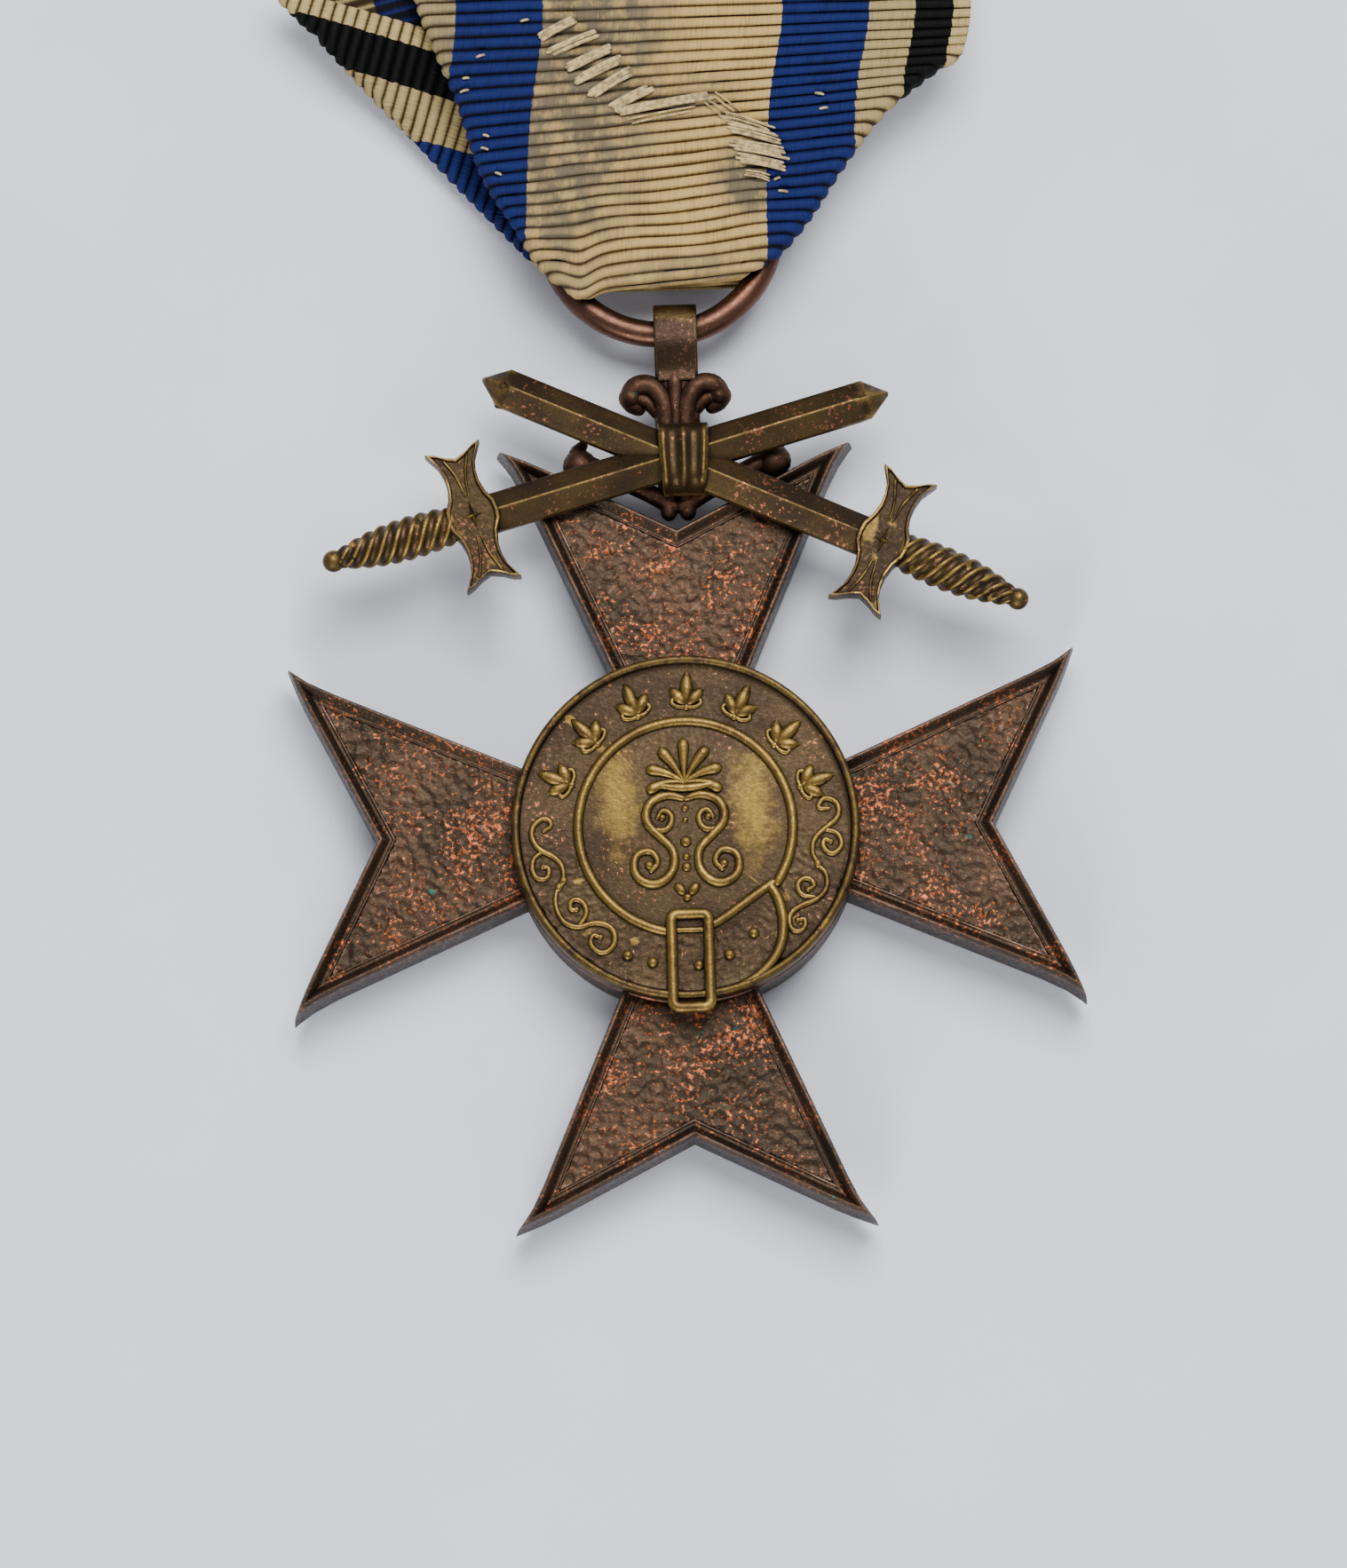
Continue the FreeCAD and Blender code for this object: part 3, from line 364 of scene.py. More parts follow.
@dataclass(frozen=True)
class GrosgrainFinish:
    """Ribbed silk: satin-faced weft over round ribs, striped, soiled along one side, with painted shade
    between the ribs.
    """

    name: str
    width: float
    rib_pitch: float
    stripes: tuple[Stripe, ...]
    centre: str
    stains: tuple[Patch, ...] = ()
    soil: str = "484640"
    # The colour of the painted shade in the grooves between the ribs.
    groove_shade: str = "4c3d2c"

    def stripe_colour(self, tree: bpy.types.NodeTree, across: bpy.types.Node) -> bpy.types.Node:
        """Colour the ribbon by the distance from its centre line.

        Args:
            tree: the node tree.
            across: the distance across the ribbon, 0 to 1.

        Returns:
            The colour's node.
        """
        ramp = add_node(tree, "ValToRGB", {"Fac": across})
        ramp.color_ramp.interpolation = "CONSTANT"
        elements = ramp.color_ramp.elements
        outward = []
        edge = 0.0
        for stripe in self.stripes:
            outward.append((edge, stripe.colour))
            edge += stripe.width
        inward = [(self.width - start - stripe.width, stripe.colour)
                  for (start, _), stripe in zip(outward, self.stripes)]
        places = outward + [(edge, self.centre)] + inward[::-1]
        for index, (start, colour) in enumerate(places):
            element = elements[index] if index < 2 else elements.new(start / self.width)
            element.position = start / self.width
            element.color = to_linear(colour)
        return ramp

    def build(self) -> bpy.types.Material:
        """Make the material.

        Returns:
            The finished material.
        """
        material, tree, shader = new_material(self.name)
        uv = add_node(tree, "UVMap", uv_map="weave").outputs["UV"]
        split = add_node(tree, "SeparateXYZ", {"Vector": uv})
        place = add_node(tree, "Mapping", {"Vector": uv, "Scale": (MM, MM, MM)}).outputs["Vector"]
        waver = add_node(tree, "TexNoise", {
            "Vector": place, "Scale": frequency(0.25), "Detail": 3.0, "Roughness": 0.55})
        centred = add_node(tree, "Math", {0: waver, 1: 0.5}, operation="SUBTRACT")
        jitter = add_node(tree, "Math", {0: centred, 1: 0.22}, operation="MULTIPLY")
        across = add_node(tree, "Math", {0: split.outputs["X"], 1: jitter}, operation="ADD")
        share = add_node(tree, "Math", {0: across, 1: self.width}, operation="DIVIDE")
        colour = self.stripe_colour(tree, share)
        phase = add_node(tree, "Math", {
            0: split.outputs["Y"], 1: math.pi / self.rib_pitch}, operation="MULTIPLY")
        wave = add_node(tree, "Math", {0: phase}, operation="SINE")
        rib = add_node(tree, "Math", {0: wave, 1: wave}, operation="MULTIPLY")
        # Yarns 0.11 mm wide, seen for 1.1 mm at a time: their finer filaments wouldn't show.
        run = add_node(tree, "Mapping", {"Vector": uv, "Scale": (9.0, 0.9, 1.0)})
        threads = add_node(tree, "TexNoise", {"Vector": run, "Scale": 1.0, "Detail": 2.0})
        shade = self.add_shade(tree, place, rib, threads)
        # Painted shade: the grooves between ribs are darkened towards a painted shade colour, and the crests
        # stay pale as a painted highlight.
        gaps = add_node(tree, "MapRange", {
            "Value": shade, "From Min": 0.0, "From Max": 1.0, "To Min": 1.0, "To Max": 0.0}, **SMOOTH)
        rib_shaded = add_node(tree, "Mix", {
            "Factor": gaps, 6: colour, 7: to_linear(self.groove_shade)}, data_type="RGBA", blend_type="MULTIPLY")
        soiled = self.add_soil(tree, place, uv, rib, rib_shaded)
        yarn = add_node(tree, "Math", {0: threads, 1: 0.8}, operation="MULTIPLY")
        height = add_node(tree, "Math", {0: yarn, 1: rib}, operation="ADD")
        bump = add_node(tree, "Bump", {"Height": height, "Strength": 0.8, "Distance": 0.14 * MM})
        tree.links.new(soiled.outputs[2], shader.inputs["Base Color"])
        tree.links.new(bump.outputs["Normal"], shader.inputs["Normal"])
        shader.inputs["Roughness"].default_value = 0.7
        shader.inputs["Specular IOR Level"].default_value = 0.1
        return material

    def add_shade(self, tree: bpy.types.NodeTree, place: bpy.types.NodeSocket, rib: bpy.types.Node,
                  threads: bpy.types.Node) -> bpy.types.Node:
        """Paint light and shade on the ribs by their height (a painted highlight on the crests, painted shade
        in the grooves), and vary it by their threads and the wear of the cloth.

        Args:
            tree: the node tree.
            place: the weave's coordinates in metres.
            rib: the rib's height, 0 to 1.
            threads: the noise of the threads.

        Returns:
            The node of the shade, 1 where the cloth is at its palest.
        """
        cloud = add_node(tree, "TexNoise", {
            "Vector": place, "Scale": frequency(1.3), "Detail": 5.0, "Roughness": 0.6})
        worn = add_node(tree, "MapRange", {
            "Value": cloud, "From Min": 0.3, "From Max": 0.7, "To Min": 0.82, "To Max": 1.06}, **SMOOTH)
        # Painted highlight on the rib crests, painted shade in the grooves between them.
        crest = add_node(tree, "MapRange", {
            "Value": rib, "From Min": -0.15, "From Max": 0.95, "To Min": 0.0, "To Max": 1.05}, **SMOOTH)
        yarn = add_node(tree, "MapRange", {
            "Value": threads, "From Min": 0.25, "From Max": 0.75, "To Min": 0.72, "To Max": 1.12}, **SMOOTH)
        shade = add_node(tree, "Math", {0: crest, 1: yarn}, operation="MULTIPLY")
        return add_node(tree, "Math", {0: shade, 1: worn}, operation="MULTIPLY")

    def add_soil(self, tree: bpy.types.NodeTree, place: bpy.types.NodeSocket,
                 uv: bpy.types.NodeSocket, rib: bpy.types.Node,
                 colour: bpy.types.Node) -> bpy.types.Node:
        """Grey the ribbon's left side and the stains round its worn places, most between ribs.

        Args:
            tree: the node tree.
            place: the weave's coordinates in metres.
            uv: the weave's coordinates: millimetres from the left selvage, and from the ring.
            rib: the rib's height, 0 to 1.
            colour: the clean colour.

        Returns:
            The soiled colour's node.
        """
        mottle = add_node(tree, "TexNoise", {
            "Vector": place, "Scale": frequency(1.4), "Detail": 6.0, "Roughness": 0.7})
        cloud = add_node(tree, "MapRange", {"Value": mottle, "From Min": 0.36, "From Max": 0.6}, **SMOOTH)
        amount = 0.0
        for stain in self.stains:
            spot = add_node(tree, "Mapping", {
                "Vector": uv, "Location": (stain.across, stain.along, 0.0), "Scale": (stain.half_width,
                stain.half_length, 1.0)}, vector_type="TEXTURE")
            reach = add_node(tree, "VectorMath", {0: spot}, operation="LENGTH")
            mask = add_node(tree, "MapRange", {
                "Value": reach, "From Min": 0.35, "From Max": 1.0, "To Min": stain.strength,
                "To Max": 0.0}, **SMOOTH)
            amount = add_node(tree, "Math", {0: mask, 1: amount}, operation="MAXIMUM")
        # Dirt shows on the pale stripes only.
        paleness = add_node(tree, "RGBToBW", {"Color": colour})
        pale = add_node(tree, "MapRange", {"Value": paleness, "From Min": 0.03, "From Max": 0.1}, **SMOOTH)
        seen = add_node(tree, "Math", {0: amount, 1: pale}, operation="MULTIPLY")
        density = add_node(tree, "Math", {0: 0.42, 1: cloud}, operation="ADD")
        dirt = add_node(tree, "Math", {0: seen, 1: density}, operation="MULTIPLY")
        settled = add_node(tree, "MapRange", {
            "Value": rib, "From Min": 0.2, "From Max": 0.95, "To Min": 1.0, "To Max": 0.55}, **SMOOTH)
        hollows = add_node(tree, "Math", {0: dirt, 1: settled}, operation="MULTIPLY")
        capped = add_node(tree, "Math", {0: hollows, 1: 0.85}, operation="MINIMUM")
        return add_node(tree, "Mix", {
            "Factor": capped, 6: colour, 7: to_linear(self.soil)}, data_type="RGBA")


@dataclass(frozen=True)
class ThreadFinish:
    """Loose silk or linen threads: matte, with darker hairlines between the filaments."""

    name: str
    base: str
    dark: str

    def build(self) -> bpy.types.Material:
        """Make the material.

        Returns:
            The finished material.
        """
        material, tree, shader = new_material(self.name)
        place = add_node(tree, "TexCoord").outputs["Object"]
        fibres = add_node(tree, "TexNoise", {
            "Vector": place, "Scale": frequency(0.3), "Detail": 4.0, "Roughness": 0.55})
        tone = add_node(tree, "MapRange", {"Value": fibres, "From Min": 0.35, "From Max": 0.65}, **SMOOTH)
        colour = add_node(tree, "Mix", {
            "Factor": tone, 6: to_linear(self.base), 7: to_linear(self.dark)}, data_type="RGBA")
        tree.links.new(colour.outputs[2], shader.inputs["Base Color"])
        shader.inputs["Roughness"].default_value = 0.7
        shader.inputs["Sheen Weight"].default_value = 0.3
        return material


@dataclass(frozen=True)
class PaperFinish:
    """Matte pale board that the medal lies on."""

    name: str = "matte_board"
    base: str = "d4d5dc"
    shade: str = "cdced6"

    def build(self) -> bpy.types.Material:
        """Make the material.

        Returns:
            The finished material.
        """
        material, tree, shader = new_material(self.name)
        place = add_node(tree, "TexCoord").outputs["Object"]
        broad = add_node(tree, "TexNoise", {
            "Vector": place, "Scale": frequency(18.0), "Detail": 4.0, "Roughness": 0.55})
        tone = add_node(tree, "MapRange", {"Value": broad, "From Min": 0.3, "From Max": 0.7}, **SMOOTH)
        colour = add_node(tree, "Mix", {
            "Factor": tone, 6: to_linear(self.base), 7: to_linear(self.shade)}, data_type="RGBA")
        tooth = add_node(tree, "TexNoise", {
            "Vector": place, "Scale": frequency(0.8), "Detail": 4.0, "Roughness": 0.55})
        bump = add_node(tree, "Bump", {"Height": tooth, "Strength": 0.12, "Distance": 0.2 * MM})
        tree.links.new(colour.outputs[2], shader.inputs["Base Color"])
        tree.links.new(bump.outputs["Normal"], shader.inputs["Normal"])
        shader.inputs["Roughness"].default_value = 0.9
        return material


# ---------------------------------------------------------------------------------------------
# Modelling helpers
# ---------------------------------------------------------------------------------------------

def finish_piece(name: str, mesh: bmesh.types.BMesh, body: Body, material: bpy.types.Material,
                 place: Optional[Matrix] = None, recalculate: bool = True) -> bpy.types.Object:
    """Close a bmesh into a piece of the model.

    Args:
        name: the piece's name.
        mesh: its shape in millimetres; it is freed.
        body: the body that it rides on.
        material: its finish.
        place: where the shape goes in the frame, in millimetres.
        recalculate: whether to turn the faces outwards.

    Returns:
        The finished object.
    """
    if place is not None:
        bmesh.ops.transform(mesh, matrix=place, verts=mesh.verts)
    bmesh.ops.scale(mesh, vec=(MM, MM, MM), verts=mesh.verts)
    if recalculate:
        bmesh.ops.recalc_face_normals(mesh, faces=mesh.faces)
    data = bpy.data.meshes.new(name)
    for face in mesh.faces:
        face.smooth = True
    mesh.to_mesh(data)
    mesh.free()
    data.materials.append(material)
    piece = bpy.data.objects.new(name, data)
    bpy.context.scene.collection.objects.link(piece)
    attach(piece, body.value)
    log.info("%s: %d faces on %s", name, len(data.polygons), body.value)
    return piece


def add_modifier(piece: bpy.types.Object, kind: str, **settings) -> None:
    """Add a modifier with its settings to a piece.

    Args:
        piece: the piece.
        kind: the modifier's type.
        **settings: the modifier's attributes.
    """
    modifier = piece.modifiers.new(kind.lower(), kind)
    for name, value in settings.items():
        setattr(modifier, name, value)


def mark_sharp(piece: bpy.types.Object, angle: float = 38.0) -> None:
    """Keep a piece's steep edges crisp under smooth shading.

    Args:
        piece: the piece.
        angle: the smallest angle of a crisp edge, in degrees.
    """
    piece.data.set_sharp_from_angle(angle=math.radians(angle))


def merge(target: bmesh.types.BMesh, source: bmesh.types.BMesh,
          place: Optional[Matrix] = None) -> None:
    """Add one bmesh to another and free it.

    Args:
        target: the mesh that grows.
        source: the mesh to add.
        place: where to put it.
    """
    if place is not None:
        bmesh.ops.transform(source, matrix=place, verts=source.verts)
    data = bpy.data.meshes.new("part")
    source.to_mesh(data)
    source.free()
    target.from_mesh(data)
    bpy.data.meshes.remove(data)


def tube(mesh: bmesh.types.BMesh, points: Sequence[Sequence[float]], flatten: float = 1.0,
         closed: bool = False, sides: int = 12) -> None:
    """Add a smooth round-ended wire that runs by its points.

    Args:
        mesh: the mesh to add to.
        points: x, y, z and radius of each control point.
        flatten: the wire's height over its width, about the first point's height.
        closed: whether the wire returns to its start.
        sides: the number of sides of its section.
    """
    rows = [(Vector(point[:3]), point[3]) for point in points]
    if not closed:
        ends = []
        for (place, radius), (beside, _) in ((rows[0], rows[1]), (rows[-1], rows[-2])):
            outward = (place - beside).normalized()
            ends.append([(place + outward * reach * radius, width * radius)
                         for reach, width in ROUND_END])
        rows = ends[0] + rows + ends[1][::-1]
    curve = bpy.data.curves.new("wire", "CURVE")
    curve.dimensions = "3D"
    curve.bevel_depth = 1.0
    curve.bevel_resolution = (sides - 4) // 2
    curve.use_fill_caps = not closed
    spline = curve.splines.new("NURBS")
    spline.points.add(len(rows) - 1)
    for target, (place, radius) in zip(spline.points, rows):
        target.co = (*place, 1.0)
        target.radius = radius
    spline.use_cyclic_u = closed
    spline.use_endpoint_u = not closed
    spline.order_u = 3
    spline.resolution_u = 4
    holder = bpy.data.objects.new("wire", curve)
    data = bpy.data.meshes.new_from_object(holder)
    height = rows[0][0].z
    data.transform(Matrix.Translation((0, 0, height)) @ Matrix.Diagonal((1, 1, flatten, 1))
                   @ Matrix.Translation((0, 0, -height)))
    mesh.from_mesh(data)
    bpy.data.objects.remove(holder)
    bpy.data.curves.remove(curve)
    bpy.data.meshes.remove(data)


def wire(mesh: bmesh.types.BMesh, line: Sequence[Sequence[float]], height: float, flatten: float = 1.0,
         closed: bool = False, sides: int = 12) -> None:
    """Raise a half-sunk wire of relief along a flat line.

    Args:
        mesh: the mesh to add to.
        line: x, y and radius of each control point.
        height: the height of the wire's axis.
        flatten: the wire's height over its width.
        closed: whether the line returns to its start.
        sides: the number of sides of its section.
    """
    tube(mesh, [(across, along, height, radius) for across, along, radius in line], flatten, closed, sides)


def sample(stations: Sequence[Point], place: float) -> float:
    """Read a smooth curve through stations.

    Args:
        stations: place and value of each station, places rising.
        place: where to read it.

    Returns:
        The value there; the end values go on outside the stations.
    """
    if place <= stations[0][0]:
        return stations[0][1]
    if place >= stations[-1][0]:
        return stations[-1][1]
    index = next(i for i in range(len(stations) - 1) if place <= stations[i + 1][0])
    (x0, y0), (x1, y1) = stations[index], stations[index + 1]
    before = stations[max(index - 1, 0)]
    after = stations[min(index + 2, len(stations) - 1)]
    width = x1 - x0
    slope0 = (y1 - before[1]) / (x1 - before[0]) * width
    slope1 = (after[1] - y0) / (after[0] - x0) * width
    share = (place - x0) / width
    square, cube = share * share, share ** 3
    return ((2 * cube - 3 * square + 1) * y0 + (cube - 2 * square + share) * slope0
            + (3 * square - 2 * cube) * y1 + (cube - square) * slope1)


def button(mesh: bmesh.types.BMesh, across: float, along: float, height: float, radius: float,
           flatten: float = 0.7, stretch: float = 1.0, turn: float = 0.0) -> None:
    """Add a domed stud, or a leaf-shaped one when stretched.

    Args:
        mesh: the mesh to add to.
        across: its centre across.
        along: its centre along.
        height: its centre's height.
        radius: its radius.
        flatten: its height over its radius.
        stretch: its length over its width.
        turn: the direction of its length, in degrees.
    """
    place = (Matrix.Translation((across, along, height)) @ Matrix.Rotation(math.radians(turn), 4, "Z")
             @ Matrix.Diagonal((radius * stretch, radius, radius * flatten, 1.0)))
    bmesh.ops.create_uvsphere(mesh, u_segments=16, v_segments=10, radius=1.0, matrix=place)


def stack(mesh: bmesh.types.BMesh, outlines: Sequence[Sequence[Vector]]) -> None:
    """Close a solid over outlines of equal length, each bridged to the next.

    Args:
        mesh: the mesh to add to.
        outlines: the outlines' corners, from the bottom cap to the top cap.
    """
    loops = []
    for outline in outlines:
        verts = [mesh.verts.new(corner) for corner in outline]
        loops.append([mesh.edges.new(pair) for pair in zip(verts, verts[1:] + verts[:1])])
    for below, above in zip(loops, loops[1:]):
        bmesh.ops.bridge_loops(mesh, edges=below + above)
    for cap in (loops[0], loops[-1]):
        bmesh.ops.edgeloop_fill(mesh, edges=cap)


def lathe(profile: Sequence[Point], steps: int = 144) -> bmesh.types.BMesh:
    """Turn a profile about the Z axis.

    Args:
        profile: radius and height of each corner, starting and ending on the axis.
        steps: steps of the full turn.

    Returns:
        The turned, closed mesh.
    """
    mesh = bmesh.new()
    verts = [mesh.verts.new((radius, 0.0, height)) for radius, height in profile]
    edges = [mesh.edges.new(pair) for pair in zip(verts, verts[1:])]
    bmesh.ops.spin(mesh, geom=verts + edges, cent=(0, 0, 0), axis=(0, 0, 1), dvec=(0, 0, 0),
                   angle=math.tau, steps=steps, use_merge=True, use_duplicate=False)
    bmesh.ops.remove_doubles(mesh, verts=mesh.verts, dist=1e-4)
    return mesh


def cloth_grid(columns: int, rows: int, shape: Callable[[float, float], Vector]) -> bmesh.types.BMesh:
    """Bend a flat grid into a surface.

    Args:
        columns: cells across.
        rows: cells along.
        shape: gives a place for each pair of shares, across and along, 0 to 1.

    Returns:
        The bent grid.
    """
    mesh = bmesh.new()
    bmesh.ops.create_grid(mesh, x_segments=columns, y_segments=rows, size=0.5)
    for vert in mesh.verts:
        vert.co = shape(vert.co.x + 0.5, vert.co.y + 0.5)
    return mesh


def ease(value: float, low: float, high: float) -> float:
    """Step smoothly from 0 at low to 1 at high.

    Args:
        value: the value to test.
        low: where the step starts.
        high: where it ends.

    Returns:
        The share of the step.
    """
    share = min(max((value - low) / (high - low), 0.0), 1.0)
    return share * share * (3 - 2 * share)


# ---------------------------------------------------------------------------------------------
# The cross
# ---------------------------------------------------------------------------------------------

@dataclass
class Cross:
    """The struck cross: four forked arms with stepped rims and pebbled fields, and a hub."""

    finish: BronzeFinish
    notch_reach: float = 16.25
    side_angle: float = 23.5
    notch_angle: float = 26.7
    top: float = 4.0
    back: float = 1.0
    hub_radius: float = 9.15
    hub_bevel: float = 0.15
    tip_flare: float = 0.42
    flare_reach: float = 2.2
    side_steps: int = 14
    field_inset: float = 0.93
    field_height: float = 3.56
    pebble_mm: float = 0.3
    pebble_height: float = 0.055
    pebble_gain: float = 1.5
    pebble_limits: Point = (-0.8, 0.9)
    pebble_octaves: tuple[Point, ...] = ((0.8, 1.0), (1.9, 0.45))
    grid_step: float = 0.11
    arms: int = 4
    arm_profile: tuple[Point, ...] = ((0.98, 1.3), (0.94, 1.02), (0.6, 1.0), (0.3, 1.0), (0.06, 1.03),
                                      (0.0, 1.12), (0.0, 1.4), (0.02, 2.2), (0.05, 3.0), (0.08, 3.6),
                                      (0.12, 3.84), (0.2, 3.98), (0.27, 4.0), (0.34, 3.97), (0.46, 3.84),
                                      (0.6, 3.7), (0.66, 3.64), (0.8, 3.63), (0.86, 3.67), (0.92, 3.66),
                                      (0.96, 3.58), (1.0, 3.45))

    def arm_corners(self, inset: float) -> list[Vector]:
        """Give the four corners of the arm that points along +Y.

        Args:
            inset: how far the outline is drawn in.

        Returns:
            The neck, the right tip, the notch and the left tip.
        """
        side, end = math.radians(self.side_angle), math.radians(self.notch_angle)
        spread = math.cos(side + end)
        across = (self.notch_reach * math.sin(side) * math.cos(end)
                  - inset * (math.cos(end) + math.sin(side))) / spread
        along = (self.notch_reach * math.cos(side) * math.cos(end)
                 - inset * (math.cos(side) + math.sin(end))) / spread
        neck = inset / math.sin(side)
        notch = self.notch_reach - inset / math.cos(end)
        return [Vector((0, neck, 0)), Vector((across, along, 0)), Vector((0, notch, 0)),
                Vector((-across, along, 0))]

    def arm_outline(self, inset: float, height: float) -> list[Vector]:
        """Give the arm's outline at one height, with its tips hooked outwards.

        Args:
            inset: how far the outline is drawn in.
            height: the outline's height.

        Returns:
            The outline's points, counter-clockwise from the neck.
        """
        corners = self.arm_corners(inset)
        tip = self.arm_corners(0.0)[1]
        outline = []
        for start, end in zip(corners, corners[1:] + corners[:1]):
            for step in range(self.side_steps):
                share = 0.5 - 0.5 * math.cos(math.pi * step / self.side_steps)
                place = start.lerp(end, share)
                near = max(0.0, 1 - math.dist((abs(place.x), place.y), tip[:2]) / self.flare_reach)
                place.x += math.copysign(self.tip_flare * near ** 2, place.x)
                outline.append(Vector((place.x, place.y, height)))
        return outline

    def struck_arm(self) -> bmesh.types.BMesh:
        """Raise one arm, with its rims' steps on both faces.

        Returns:
            The arm along +Y.
        """
        mesh = bmesh.new()
        stack(mesh, [self.arm_outline(inset, height) for inset, height in self.arm_profile])
        return mesh

    def pebbled_field(self) -> bmesh.types.BMesh:
        """Cut a fine grid to the arm's field and raise its orange-peel pebbles.

        Returns:
            The open sheet of the field along +Y.
        """
        neck, right, notch, left = self.arm_corners(self.field_inset)
        low, high = neck.y, right.y
        cells = int((high - low) / self.grid_step)
        mesh = bmesh.new()
        place = Matrix.Translation((0, (low + high) / 2, self.field_height))
        bmesh.ops.create_grid(mesh, x_segments=cells, y_segments=cells, size=(high - low) / 2,
                              matrix=place)
        for start, end in ((neck, right), (left, neck)):
            heading = (end - start).normalized()
            bmesh.ops.bisect_plane(mesh, geom=mesh.verts[:] + mesh.edges[:] + mesh.faces[:], dist=1e-5,
                                   plane_co=start, plane_no=(heading.y, -heading.x, 0), clear_outer=True)
        doomed = []
        slope = (right.y - notch.y) / right.x
        for vert in mesh.verts:
            edge = notch.y + abs(vert.co.x) * slope
            if vert.co.y > edge + self.grid_step:
                doomed.append(vert)
            elif vert.co.y > edge:
                vert.co.y = edge
        bmesh.ops.delete(mesh, geom=doomed, context="VERTS")
        for vert in mesh.verts:
            place = Vector((vert.co.x, vert.co.y, 0.0))
            rough = sum(strength * noise.noise(place / self.pebble_mm * rate)
                        for rate, strength in self.pebble_octaves)
            low, high = self.pebble_limits
            vert.co.z += self.pebble_height * max(low, min(high, self.pebble_gain * rough))
        return mesh

    def build(self) -> None:
        """Build the arms, fields and hub, which stand for the CAD cross."""
        material = self.finish.build()
        arms, fields = bmesh.new(), bmesh.new()
        for index in range(self.arms):
            turn = Matrix.Rotation(index * math.tau / self.arms, 4, "Z")
            merge(arms, self.struck_arm(), turn)
            merge(fields, self.pebbled_field(), turn)
        rims = finish_piece("cross_arms", arms, Body.CROSS, material)
        mark_sharp(rims, 42)
        sheet = finish_piece("cross_fields", fields, Body.CROSS, material)
        add_modifier(sheet, "SOLIDIFY", thickness=0.12 * MM, offset=-1.0)
        radius, bevel, brow = self.hub_radius, self.hub_bevel, self.top - 0.03
        hub = lathe(((0.0, self.back), (radius - bevel, self.back), (radius, self.back + bevel),
                     (radius, self.back + 0.6), (radius, self.top - 0.7), (radius, self.top - 0.2),
                     (radius - bevel, brow), (0.0, brow)))
        core = finish_piece("cross_hub", hub, Body.CROSS, material)
        mark_sharp(core)
        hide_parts("cross_body")


# ---------------------------------------------------------------------------------------------
# The medallions
# ---------------------------------------------------------------------------------------------

